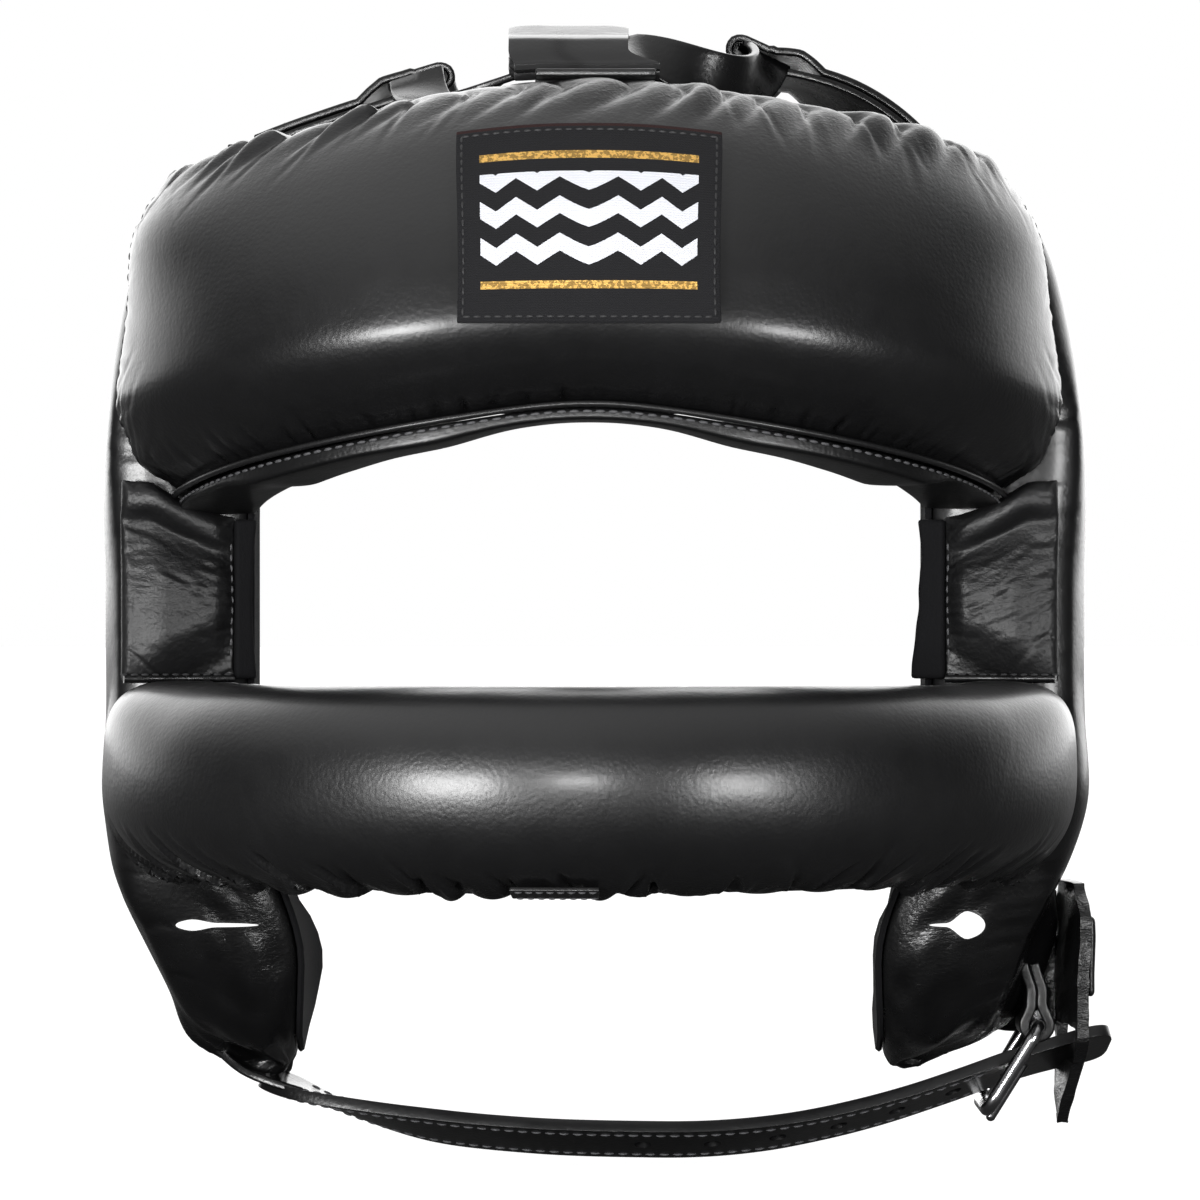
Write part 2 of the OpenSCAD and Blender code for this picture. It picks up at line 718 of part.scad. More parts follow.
// The frame turns on its upper bar, inside the chape's loop
frame_dir = [-sin(frame_slope), 0, -cos(frame_slope)];
frame_out = [cos(frame_slope), 0, -sin(frame_slope)];
frame_mid = chin_points[buckle_point] - frame_dir * 0.3;
frame_top = frame_mid - frame_dir * frame_h / 2;

// The prong lies this far out from the frame's plane, and crosses the strap at prong_hole
prong_rise = (wire_d + prong_d) / 2 + 0.1;
strap_face = chin_face(buckle_point * chin_steps);
prong_start = frame_top + frame_out * prong_rise;
prong_hole = prong_start
    + frame_dir * (((chin_points[buckle_point] - prong_start) * strap_face) / (frame_dir * strap_face));

// Places a child with X along the slope of the frame, down, and Y along its bars
module on_frame() {
    translate(frame_top)
        rotate([0, 90 + frame_slope, 0])
            children();
}

// A wire frame with round corners
module buckle_frame() {
    straight_w = frame_w - 2 * corner_r;
    straight_h = frame_h - 2 * corner_r;
    color("silver")
        on_frame() {
            for (x = [0, frame_h])
                translate([x, straight_w / 2, 0])
                    rotate([90, 0, 0])
                        cylinder(d = wire_d, h = straight_w, $fn = fine);
            for (y = [-frame_w / 2, frame_w / 2])
                translate([corner_r, y, 0])
                    rotate([0, 90, 0])
                        cylinder(d = wire_d, h = straight_h, $fn = fine);
            for (c = [[0, 1, 1], [90, -1, 1], [180, -1, -1], [270, 1, -1]])
                translate([frame_h / 2 + c[1] * straight_h / 2, c[2] * straight_w / 2, 0])
                    rotate([0, 0, c[0]])
                        rotate_extrude(angle = 90, $fn = fine)
                            translate([corner_r, 0])
                                circle(d = wire_d, $fn = fine);
        }
}
corner_r = 4;

// An eye round the upper bar and a tongue that rests on the lower bar
eye_w = 3.4;
module buckle_prong() {
    color("silver")
        on_frame()
            difference() {
                union() {
                    rotate([90, 0, 0])
                        cylinder(d = wire_d + 3, h = eye_w, center = true, $fn = fine);
                    translate([0, 0, prong_rise])
                        rotate([0, 90, 0])
                            cylinder(d = prong_d, h = frame_h + 1.5, $fn = fine);
                    translate([frame_h + 1.5, 0, prong_rise])
                        sphere(d = prong_d, $fn = fine);
                }
                rotate([90, 0, 0])
                    cylinder(d = wire_d + 2 * turn_gap, h = eye_w + 2, center = true, $fn = fine);
            }
}

// Folded leather: a loop round the upper bar, slotted for the prong, and two layers above it
module buckle_chape() {
    loop_d = wire_d + 2 * turn_gap;
    color(hide)
        translate(frame_top)
            rotate([90, 0, 0])
                difference() {
                    union() {
                        cylinder(d = loop_d + 2 * chape_t, h = chape_w, center = true, $fn = fine);
                        translate([-chape_t, 0, -chape_w / 2])
                            cube([2 * chape_t, chape_l, chape_w]);
                    }
                    cylinder(d = loop_d, h = chape_w + 2, center = true, $fn = fine);
                    translate([-12, -12, -eye_w / 2 - 0.6])
                        cube([24, 12 + wire_d + 3, eye_w + 1.2]);
                }
}
chape_l = 15.4;

// The guard hangs from its sewn top outside the buckle, and the strap's tip goes through its slot
guard_seat = 0.55;
guard_y = chin_points[guard_point].y - guard_w / 2;
guard_x = wall(92, guard_top, side_t(0.5, guard_top)).x + layer_gap - guard_seat
    + guard_w * sin(guard_turn);
guard_step = guard_point * chin_steps;
module on_guard(x) {
    translate([guard_x, guard_y, guard_top])
        rotate([0, 0, guard_turn])
            translate([x, 0, 0])
                rotate([90, 0, 90])
                    children();
}
module guard_outline() {
    shoulder = 22;
    hull() {
        for (y = [4, guard_w - 4])
            translate([y, -4])
                circle(r = 4, $fn = fine);
        for (y = [5, guard_w - 5])
            translate([y, shoulder - guard_l])
                circle(r = 5, $fn = fine);
        translate([guard_w / 2, 3 - guard_l])
            circle(r = 3, $fn = fine);
    }
}
module strap_slot() {
    a = chin_along(guard_step);
    w = chin_across(guard_step);
    f = chin_face(guard_step);
    m = chin_points[guard_point];
    slot_w = chin_w + 2 * slot_side;
    slot_t = chin_t + 2 * slot_face;
    multmatrix([[a.x, w.x, f.x, m.x], [a.y, w.y, f.y, m.y], [a.z, w.z, f.z, m.z], [0, 0, 0, 1]])
        translate([-8, -slot_w / 2, -slot_t / 2])
            cube([24, slot_w, slot_t]);
}
module buckle_guard() {
    color(hide)
        difference() {
            on_guard(0)
                linear_extrude(guard_t)
                    guard_outline();
            strap_slot();
        }
}

// A raised leather patch sewn on the outside of the guard
module guard_patch() {
    color(hide_dark)
        on_guard(guard_t + layer_gap)
            translate([6, -28])
                linear_extrude(2.2)
                    square([guard_w - 12, 20]);
}

forehead_cover();
forehead_foam();
forehead_lining();
brow_hem();
woven_patch();
left_side_cover();
left_side_foam();
left_side_lining();
right_side_cover();
right_side_foam();
right_side_lining();
left_cheek_panel();
right_cheek_panel();
left_cheek_binding();
right_cheek_binding();
face_bar_cover();
face_bar_foam();
face_bar_rod();
bar_seam_patch();
front_crown_tab();
left_crown_tab();
right_crown_tab();
rear_crown_tab();
crown_strap();
left_rear_strap();
rear_loop_tape();
right_rear_strap();
rear_hook_tape();
left_nape_strap();
nape_loop_tape();
right_nape_strap();
nape_hook_tape();
chin_strap();
buckle_chape();
buckle_frame();
buckle_prong();
buckle_guard();
guard_patch();
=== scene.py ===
"""Looks for the boxing headgear with a padded face bar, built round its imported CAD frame.

Shapes are worked out in millimetres and degrees, in the frame of the CAD model: +Z is up, the
wearer faces -Y, and plan angles run from the front over the wearer's +X side.
"""
import math

import bmesh
import bpy
import numpy as np
from bpy.props import FloatProperty, FloatVectorProperty, PointerProperty
from mathutils import Matrix, Vector


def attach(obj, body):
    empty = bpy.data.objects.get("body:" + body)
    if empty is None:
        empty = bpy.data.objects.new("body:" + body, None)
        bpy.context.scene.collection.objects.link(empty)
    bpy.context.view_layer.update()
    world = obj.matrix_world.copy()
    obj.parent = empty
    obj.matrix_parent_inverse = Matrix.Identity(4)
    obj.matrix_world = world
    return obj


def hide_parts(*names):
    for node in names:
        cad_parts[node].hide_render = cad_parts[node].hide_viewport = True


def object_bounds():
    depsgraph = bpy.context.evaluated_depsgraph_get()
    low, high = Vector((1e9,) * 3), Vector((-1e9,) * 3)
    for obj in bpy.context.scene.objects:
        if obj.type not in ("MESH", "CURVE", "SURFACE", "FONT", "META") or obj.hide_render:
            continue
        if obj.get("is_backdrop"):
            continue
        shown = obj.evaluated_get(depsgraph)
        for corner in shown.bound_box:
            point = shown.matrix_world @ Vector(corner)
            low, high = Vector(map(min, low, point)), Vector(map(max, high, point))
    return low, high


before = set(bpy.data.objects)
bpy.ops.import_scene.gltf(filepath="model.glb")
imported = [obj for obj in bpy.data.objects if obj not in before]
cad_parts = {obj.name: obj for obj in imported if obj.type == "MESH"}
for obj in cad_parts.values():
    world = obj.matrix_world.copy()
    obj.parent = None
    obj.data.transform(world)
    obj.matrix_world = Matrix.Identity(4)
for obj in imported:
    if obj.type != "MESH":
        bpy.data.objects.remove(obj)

bl_info = {
    "name": "Boxing headgear with face bar",
    "version": (1, 0, 0),
    "blender": (4, 5, 0),
    "location": "3D View > Sidebar > Headgear",
    "description": "Dresses the headgear's frame in leather, stitching, cloth and steel",
    "category": "Object",
}

MM = 0.001

# Sizes of the CAD solids that the pieces follow
HALF_W, FRONT, REAR, SQUARE = 84.0, 92.0, 104.0, 2.6
SEAM_A, SIDE_LOW, SIDE_HIGH = 73.0, -116.0, 110.0
LINING, LAYER_GAP = 1.6, 0.3
SLIT_Z = -80.0
BAR_W, BAR_REACH, BAR_Z, BAR_H, BAR_D = 97.0, 131.0, -42.8, 23.2, 21.0
CHEEK_LOW, CHEEK_NEAR, CHEEK_FAR, STRIP_A, HEM_H = -18.6, 5.3, 33.5, 2.8, 3.4
RING_W, RING_L, RING_FRONT, RING_Z, RING_SQUARE = 43.0, 53.0, 8.0, 129.5, 4.0
CROWN_W, CROWN_T, TUNNEL_ROOM, HIDE_T = 14.0, 2.0, 1.4, 2.0
CHIN_W, CHIN_T, CHIN_TILT = 20.0, 3.0, 24.0
CHIN_POINTS = np.array([
    [-80, -2, -119.2], [-66, -8, -124.4], [-42, -16, -129.4], [-14, -22, -131.8],
    [13, -24, -132.5], [30, -23, -132.4], [46, -21, -131.0], [61, -18, -128.4],
    [75.5, -15, -124.9], [89.5, -12, -120.6], [104, -9, -115.8], [118, -6, -112],
    [129, -5, -109.6]])
CHIN_STEPS, BUCKLE_POINT = 36, 10
BUCKLE_TOP, CHAPE_UP = (110.518, -9.0, -105.069), 15.4
GUARD_TOP, GUARD_TURN, GUARD_SLOT = (119.795, -25.0, -70.0), 4.0, (19.5, -40.0)

# Distances from the camera to the middle of the head and to the jaw slits, in millimetres
CAMERA_AWAY, SLIT_AWAY = 1400.0, 1378.0
# Runs of leather along which the gathers are laid out, in millimetres either way from the middle
BAR_RUN, BROW_RUN = 190, 160
# Frames that the cloth takes to puff a pad, and the angle in degrees above which an edge is sharp
CLOTH_FRAMES, SHARP_EDGE = 20, 50


def ease(t):
    """Smooth step from 0 to 1."""
    t = np.clip(t, 0, 1)
    return t * t * (3 - 2 * t)


def stuffed(t):
    """Quarter-round rise from 0 to 1, as a stuffed edge has."""
    t = np.clip(t, 0, 1)
    return np.sqrt(1 - (1 - t) ** 2)


def signed_pow(v, p):
    return np.sign(v) * np.abs(v) ** p


def unit(v):
    v = np.asarray(v, float)
    return v / np.linalg.norm(v, axis=-1, keepdims=True)


def cavity_share(z):
    """Share of the head cavity's size that is left at height z."""
    dome = np.sqrt(np.clip(1 - ((z - 20) / 150) ** 2, 0.01, 1))
    return np.where(z > 20, dome, 1 - 0.15 * ease((-45 - z) / 45))


def wall(a, z, d):
    """Points on the cavity wall at plan angle a and height z, moved out by d."""
    a, z, d = np.broadcast_arrays(np.asarray(a, float), np.asarray(z, float), np.asarray(d, float))
    k = cavity_share(z)
    s, c = np.sin(np.radians(a)), np.cos(np.radians(a))
    deep = np.where(c > 0, FRONT, REAR)
    x = HALF_W * signed_pow(s, 2 / SQUARE)
    y = -deep * signed_pow(c, 2 / SQUARE)
    nx = signed_pow(x / HALF_W, SQUARE - 1) / HALF_W
    ny = signed_pow(y / deep, SQUARE - 1) / deep
    m = np.hypot(nx, ny)
    return np.stack([k * x + d * nx / m, k * y + d * ny / m, z], -1)


def fore_low(a):
    return 44.8 - 0.297 * (np.hypot(a, 3) - 3)


def fore_high(a):
    return 123 - 15 * (a / SEAM_A) ** 2


def fore_t(a, z):
    """Thickness of the forehead pad, rolled in at its lower edge and full at its upper corners."""
    v = (z - fore_low(a)) / (fore_high(a) - fore_low(a))
    low = np.sin(np.pi / 2 * np.clip(v / 0.28, 0, 1))
    top = 15 + 16 * ease((np.abs(a) - 25) / 40)
    seam = 1 - 0.15 * (1 - stuffed((SEAM_A - np.abs(a)) / 14)) ** 2
    return (20 + 18 * low - (38 - top) * (1 - stuffed((1 - v) / 0.62))) * seam


def side_front(z):
    return SEAM_A + 0.35 + 15 * (1 - stuffed((z - SIDE_LOW) / 45))


def side_rear(z):
    """Plan angle of the side pad's rear edge, with the ear notch and the two wings."""
    return (98 + 42 * ease((z - 46) / 24) + 34 * ease((-24 - z) / 20) * ease((z + 79) / 18)
            + 8 * ease((-70 - z) / 18) - 8 * (1 - stuffed((z - SIDE_LOW) / 40))
            - 16 * (1 - stuffed((SIDE_HIGH - z) / 30)))


def side_t(u, z):
    """Thickness of a side pad."""
    full = 38 + 3 * ease((-20 - z) / 30)
    high = 27 + (full - 27) * stuffed((SIDE_HIGH - z) / 30)
    seam = 1 - 0.15 * (1 - stuffed(u / 0.25)) ** 2
    return 8 + (high - 8) * stuffed((1 - u) / 0.3) * stuffed((z - SIDE_LOW) / 52) * seam


def cheek_h(a):
    return fore_low(a) - HEM_H - 2.5 * LAYER_GAP - CHEEK_LOW


BAR_END_Y = float(wall(SEAM_A + 0.35, BAR_Z, BAR_W - HALF_W)[1]) - 1.2


def bar_mid(v):
    t = np.radians((2 * v - 1) * 90)
    return np.stack([BAR_W * np.sin(t), BAR_END_Y - (BAR_REACH + BAR_END_Y) * np.cos(t),
                     np.full_like(t, BAR_Z)], -1)


def bar_out(v):
    t = np.radians((2 * v - 1) * 90)
    return unit(np.stack([np.sin(t) * (BAR_REACH + BAR_END_Y), -np.cos(t) * BAR_W,
                          np.zeros_like(t)], -1))


def bar_point(u, v, less):
    """Point of the bar's skin, u round it from its front over its top, v from left to right."""
    p = 2 * math.pi * u
    x = (BAR_D - less) * signed_pow(np.cos(p), 0.86)
    z = (BAR_H - less) * signed_pow(np.sin(p), 0.86)
    full = 0.3 * ease((np.abs(2 * v - 1) - 0.66) / 0.22) * (np.sin(p) > 0) * (np.cos(p) > 0)
    x = x * np.maximum(np.abs(np.cos(p)), 0.05) ** -full
    z = z * np.maximum(np.abs(np.sin(p)), 0.05) ** -full
    lean = 0.2 * ease(np.abs(2 * v - 1) * 8 - 7)
    out = bar_out(v) - np.stack([0 * v, lean, 0 * v], -1)
    return bar_mid(v) + x[..., None] * out + np.stack([0 * z, 0 * z, z], -1)


class Noise:
    """Smooth lattice noise from 0 to 1, the same on each run."""

    def __init__(self, seed):
        self.table = np.random.default_rng(seed).random(8192)

    def __call__(self, *axes):
        axes = np.broadcast_arrays(*[np.asarray(a, float) for a in axes])
        cells = [np.floor(a).astype(np.int64) for a in axes]
        parts = [ease(a - c) for a, c in zip(axes, cells)]
        total = 0
        for corner in range(2 ** len(axes)):
            key, weight = 0, 1
            for i, (cell, part) in enumerate(zip(cells, parts)):
                bit = corner >> i & 1
                key = key ^ (cell + bit) * (73856093, 19349663, 83492791)[i]
                weight = weight * (part if bit else 1 - part)
            total = total + weight * self.table[key & 8191]
        return total


class Puckers:
    """Leather gathered on a thread: puffed lobes between pinches, and creases that leave them."""

    def __init__(self, start, end, pitch, reach, seed, lean=0.0, uneven=0.35):
        rng = np.random.default_rng(seed)
        steps = pitch * (1 + uneven * rng.uniform(-1, 1, int(3 * (end - start) / pitch)))
        self.pinch = start + np.concatenate([[0], np.cumsum(steps)])
        self.pinch = self.pinch[:np.searchsorted(self.pinch, end) + 2]
        self.high = rng.uniform(0.45, 1.3, len(self.pinch))
        middle, half = (start + end) / 2, (end - start) / 2
        self.creases = []
        for root in self.pinch:
            out = np.clip((root - middle) / half, -1, 1)
            for _ in range(3):
                far = reach * rng.uniform(0.35, 1.15) * (0.6 + 0.9 * abs(out))
                self.creases.append((root + rng.normal(0, 0.11 * pitch),
                                     lean * out * rng.uniform(0.7, 1.3) + rng.normal(0, 0.28),
                                     far, rng.uniform(0.35, 1), rng.uniform(0.7, 1.5),
                                     1 if rng.random() < 0.5 else -1))

    def lobes(self, s):
        """Height of the puffed lobes at s along the seam, 0 at a pinch and about 1 between two."""
        i = np.clip(np.searchsorted(self.pinch, s) - 1, 0, len(self.pinch) - 2)
        share = np.clip((s - self.pinch[i]) / (self.pinch[i + 1] - self.pinch[i]), 0, 1)
        return self.high[i] * np.sin(np.pi * share) ** 0.75

    def lines(self, s, t):
        """Height of the creases at s along the seam and t away from it, from about -1 to 0.6."""
        height = np.zeros(np.shape(s))
        for root, slope, far, deep, wide, hand in self.creases:
            near = np.flatnonzero((t < far) & (np.abs(s - root - slope * t) < 5 * wide))
            x, up = s[near] - root - slope * t[near], t[near] / far
            w = wide * (0.6 + 0.9 * up)
            shape = -np.exp(-(x / w) ** 2) + 0.6 * np.exp(-((x - 1.7 * w * hand) / w) ** 2)
            height[near] += deep * (1 - up) ** 0.8 * shape
        return height


def sample(values, at, knots=None):
    """Rows of values read between their knots, which are 0, 1, 2 and so on if none are given."""
    knots = np.arange(len(values)) if knots is None else knots
    return np.stack([np.interp(at, knots, column) for column in values.T], -1)


def lengths(path):
    """How far each point of a path lies from its start, measured along the path."""
    return np.concatenate([[0], np.cumsum(np.linalg.norm(np.diff(path, axis=0), axis=1))])


def loft(rings, sides, base=0):
    """Quads between rings of points that follow one another, from point base on."""
    return [(base + j * sides + i, base + j * sides + (i + 1) % sides,
             base + (j + 1) * sides + (i + 1) % sides, base + (j + 1) * sides + i)
            for j in range(rings - 1) for i in range(sides)]


def deselect():
    bpy.ops.object.select_all(action="DESELECT")


def primitive(add, **settings):
    """The object that one of Blender's add operators makes, with nothing else selected."""
    deselect()
    add(**settings)
    return bpy.context.active_object


def select_only(piece):
    deselect()
    piece.select_set(True)
    bpy.context.view_layer.objects.active = piece


def apply_modifier(piece, kind, **settings):
    """Adds one modifier with these settings and applies it."""
    select_only(piece)
    modifier = piece.modifiers.new(kind.title(), kind)
    for key, value in settings.items():
        setattr(modifier, key, value)
    bpy.ops.object.modifier_apply(modifier=modifier.name)


def cut(piece, cutter):
    """Cuts a closed shape out of a piece and drops the shape."""
    apply_modifier(piece, "BOOLEAN", object=cutter, operation="DIFFERENCE", solver="EXACT")
    bpy.data.objects.remove(cutter)


def points_of(piece):
    flat = np.zeros(len(piece.data.vertices) * 3)
    piece.data.vertices.foreach_get("co", flat)
    return flat.reshape(-1, 3) / MM


def set_points(piece, points):
    piece.data.vertices.foreach_set("co", (np.asarray(points) * MM).ravel())
    piece.data.update()


def normals_of(piece):
    flat = np.zeros(len(piece.data.vertices) * 3)
    piece.data.vertex_normals.foreach_get("vector", flat)
    return flat.reshape(-1, 3)


def put_attribute(piece, name, values):
    values = np.asarray(values, float)
    kind, field = ("FLOAT", "value") if values.ndim == 1 else ("FLOAT_VECTOR", "vector")
    layer = piece.data.attributes.get(name) or piece.data.attributes.new(name, kind, "POINT")
    layer.data.foreach_set(field, values.ravel())


def attribute_of(piece, name):
    layer = piece.data.attributes[name]
    wide = 3 if layer.data_type == "FLOAT_VECTOR" else 1
    flat = np.zeros(len(layer.data) * wide)
    layer.data.foreach_get("vector" if wide == 3 else "value", flat)
    return flat.reshape(-1, 3) if wide == 3 else flat


def wear(node, look):
    """Gives a CAD node that stays in view its material."""
    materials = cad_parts[node].data.materials
    materials.clear()
    materials.append(looks()[look])


def new_mesh(name, points, faces):
    """A mesh object from points in millimetres."""
    mesh = bpy.data.meshes.new(name)
    mesh.from_pydata((np.asarray(points) * MM).tolist(), [], [list(map(int, f)) for f in faces])
    piece = bpy.data.objects.new(name, mesh)
    bpy.context.scene.collection.objects.link(piece)
    return piece


def face_outwards(piece):
    work = bmesh.new()
    work.from_mesh(piece.data)
    bmesh.ops.recalc_face_normals(work, faces=work.faces)
    work.to_mesh(piece.data)
    work.free()


def finish_piece(piece, look, slot, *nodes, body="headgear", shade=None):
    """Smooth shading, material and body, and the CAD nodes that the piece stands for; slot is not
    used.
    """
    if shade is not None:
        smooth_leather(piece, shade)
    select_only(piece)
    bpy.ops.object.shade_smooth_by_angle(angle=math.radians(SHARP_EDGE))
    piece.data.materials.clear()
    piece.data.materials.append(looks()[look])
    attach(piece, body)
    if nodes:
        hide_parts(*nodes)


def grid(name, nu, nv, place):
    """A grid primitive whose corners are set by place(u, v), in millimetres."""
    piece = primitive(bpy.ops.mesh.primitive_grid_add, x_subdivisions=nu, y_subdivisions=nv, size=2)
    piece.name = piece.data.name = name
    flat = points_of(piece) * MM
    u, v = (flat[:, 0] + 1) / 2, (flat[:, 1] + 1) / 2
    put_attribute(piece, "place", np.stack([u, v, 0 * u], -1))
    set_points(piece, place(u, v))
    return piece


def ribbon(name, nu, nv, place, thick, edge=0.5):
    """A strap: a grid with a wall and rounded edges."""
    piece = grid(name, nu, nv, place)
    apply_modifier(piece, "SOLIDIFY", thickness=thick * MM, offset=0)
    apply_modifier(piece, "BEVEL", width=edge * MM, segments=3, limit_method="ANGLE",
                   angle_limit=math.radians(60))
    face_outwards(piece)
    return piece


def closed_pad(name, place, nu, nv, rim, radius):
    """A closed pad from place(u, v, inset, w), where w is 0 on the outside and 1 on the inside."""
    row = nu + 1
    v, u = [g.ravel() for g in np.meshgrid(np.linspace(0, 1, nv + 1), np.linspace(0, 1, nu + 1),
                                           indexing="ij")]
    ring = (list(range(nu)) + [j * row + nu for j in range(nv)]
            + [nv * row + i for i in range(nu, 0, -1)] + [j * row for j in range(nv, 0, -1)])
    points, places = [place(u, v, radius, 0)], [np.stack([u, v, 0 * u], -1)]
    for k in range(1, rim):
        w = k / rim
        points.append(place(u[ring], v[ring], radius * (1 - math.sin(math.pi * w) ** 0.6), w))
        places.append(np.stack([u[ring], v[ring], 0 * u[ring] + w], -1))
    points.append(place(u, v, radius, 1))
    places.append(np.stack([u, v, 0 * u + 1], -1))
    quads = [(j * row + i, j * row + i + 1, (j + 1) * row + i + 1, (j + 1) * row + i)
             for j in range(nv) for i in range(nu)]
    n, m = row * (nv + 1), len(ring)
    inner = n + (rim - 1) * m
    faces = quads + [tuple(inner + k for k in q[::-1]) for q in quads]
    loops = [ring] + [[n + k * m + i for i in range(m)] for k in range(rim - 1)]
    loops.append([inner + k for k in ring])
    for a, b in zip(loops, loops[1:]):
        faces += [(a[i], b[i], b[(i + 1) % m], a[(i + 1) % m]) for i in range(m)]
    piece = new_mesh(name, np.concatenate(points), faces)
    put_attribute(piece, "place", np.concatenate(places))
    face_outwards(piece)
    return piece


def inflate(piece, sewn, cap, pressure=3.0):
    """Puffs a closed pad with cloth that is sewn down at the points given, then drops the cloth."""
    start = points_of(piece)
    piece.vertex_groups.new(name="sewn").add([int(i) for i in np.flatnonzero(sewn)], 1.0, "REPLACE")
    cloth = piece.modifiers.new("Cloth", "CLOTH")
    cloth.settings.quality = 6
    cloth.settings.mass = 0.3
    cloth.settings.tension_stiffness = cloth.settings.compression_stiffness = 20
    cloth.settings.bending_stiffness = 0.8
    cloth.settings.use_pressure = True
    cloth.settings.uniform_pressure_force = pressure
    cloth.settings.effector_weights.gravity = 0
    cloth.settings.vertex_group_mass = "sewn"
    cloth.point_cache.frame_start, cloth.point_cache.frame_end = 1, CLOTH_FRAMES
    for number in range(1, CLOTH_FRAMES + 1):
        bpy.context.scene.frame_set(number)
    puffed = piece.evaluated_get(bpy.context.evaluated_depsgraph_get())
    flat = np.zeros(len(puffed.data.vertices) * 3)
    puffed.data.vertices.foreach_get("co", flat)
    step = flat.reshape(-1, 3) / MM - start
    piece.modifiers.remove(cloth)
    bpy.context.scene.frame_set(1)
    length = np.linalg.norm(step, axis=1, keepdims=True)
    set_points(piece, start + step * np.minimum(1, cap / np.maximum(length, 1e-6)))


def refine(piece, levels):
    apply_modifier(piece, "SUBSURF", levels=levels, render_levels=levels)


def stuff(pad, nu, nv, cap, pressure=3.0):
    """Puffs a pad that is sewn down inside and at its edge, and gives each point's place on it."""
    u, v, w = attribute_of(pad, "place").T
    edge = np.minimum(np.minimum(u, 1 - u) * nu, np.minimum(v, 1 - v) * nv)
    inflate(pad, (w > 0.01) | (edge < 0.5), cap, pressure)
    refine(pad, 2)
    return attribute_of(pad, "place").T


def tube(name, path, radius, sides=10):
    """A round roll of leather along a path, closed at both ends."""
    path = np.asarray(path, float)
    along = unit(np.gradient(path, axis=0))
    side = unit(np.cross(along, [0, 0, 1.0]))
    up = np.cross(side, along)
    turn = np.arange(sides) * 2 * math.pi / sides
    points = [path[0]]
    for p, a, b in zip(path, side, up):
        points += [p + radius * (math.cos(t) * a + math.sin(t) * b) for t in turn]
    points.append(path[-1])
    n = len(path)
    faces = loft(n, sides, 1)
    faces += [(0, 1 + (i + 1) % sides, 1 + i) for i in range(sides)]
    faces += [(len(points) - 1, 1 + (n - 1) * sides + i, 1 + (n - 1) * sides + (i + 1) % sides)
              for i in range(sides)]
    piece = new_mesh(name, points, faces)
    face_outwards(piece)
    return piece


def laid_on(piece, path):
    """The nearest points of a finished piece to a path, and the way its surface faces there."""
    found = [piece.closest_point_on_mesh(Vector(point * MM)) for point in np.asarray(path, float)]
    return np.array([f[1] for f in found]) / MM, np.array([f[2] for f in found])


def stitches(name, path, up, look, form, body="headgear", slot="trim_leather"):
    """A row of thread stitches of one form laid along a path, on a surface that faces up."""
    pitch, length, width, lift = form
    path, up = np.asarray(path, float), np.asarray(up, float)
    run = lengths(path)
    at = np.arange(pitch / 2, run[-1], pitch)
    middle, face = sample(path, at, run), unit(sample(up, at, run))
    ahead = unit(sample(path, np.minimum(at + 0.5, run[-1]), run)
                 - sample(path, np.maximum(at - 0.5, 0), run))
    side = unit(np.cross(face, ahead))
    ends = np.array([-0.5, -0.36, -0.1, 0.1, 0.36, 0.5]) * length
    girth = np.array([0.25, 0.8, 1, 1, 0.8, 0.25]) * width / 2
    sides = 6
    points, faces = [], []
    for m, f, t, b in zip(middle, face, ahead, side):
        base = len(points)
        for e, g in zip(ends, girth):
            rise = lift + 0.16 * width * (1 - (2 * e / length) ** 2)
            for k in range(sides):
                c, s = math.cos(k * math.pi / 3), math.sin(k * math.pi / 3)
                points.append(m + t * e + b * g * c + f * (g * 0.8 * s + rise))
        faces += loft(len(ends), sides, base)
        faces.append(tuple(base + k for k in range(sides - 1, -1, -1)))
        faces.append(tuple(len(points) - sides + k for k in range(sides)))
    piece = new_mesh(name, points, faces)
    face_outwards(piece)
    finish_piece(piece, look, slot, body=body)


class Val:
    """A shader socket that can be used in expressions."""

    def __init__(self, look, socket):
        self.look, self.socket = look, socket

    def __add__(self, other):
        return self.look.maths("ADD", self, other)

    def __radd__(self, other):
        return self.look.maths("ADD", other, self)

    def __sub__(self, other):
        return self.look.maths("SUBTRACT", self, other)

    def __rsub__(self, other):
        return self.look.maths("SUBTRACT", other, self)

    def __mul__(self, other):
        return self.look.maths("MULTIPLY", self, other)

    def __rmul__(self, other):
        return self.look.maths("MULTIPLY", other, self)

    def __truediv__(self, other):
        return self.look.maths("DIVIDE", self, other)

    def __pow__(self, other):
        return self.look.maths("POWER", self, other)

    def above(self, limit):
        return self.look.maths("GREATER_THAN", self, limit)

    def between(self, low, high):
        return self.above(low) * (1 - self.above(high))

    def kept(self):
        """The value kept between 0 and 1."""
        return self.look.maths("ADD", self, 0.0, clamp=True)


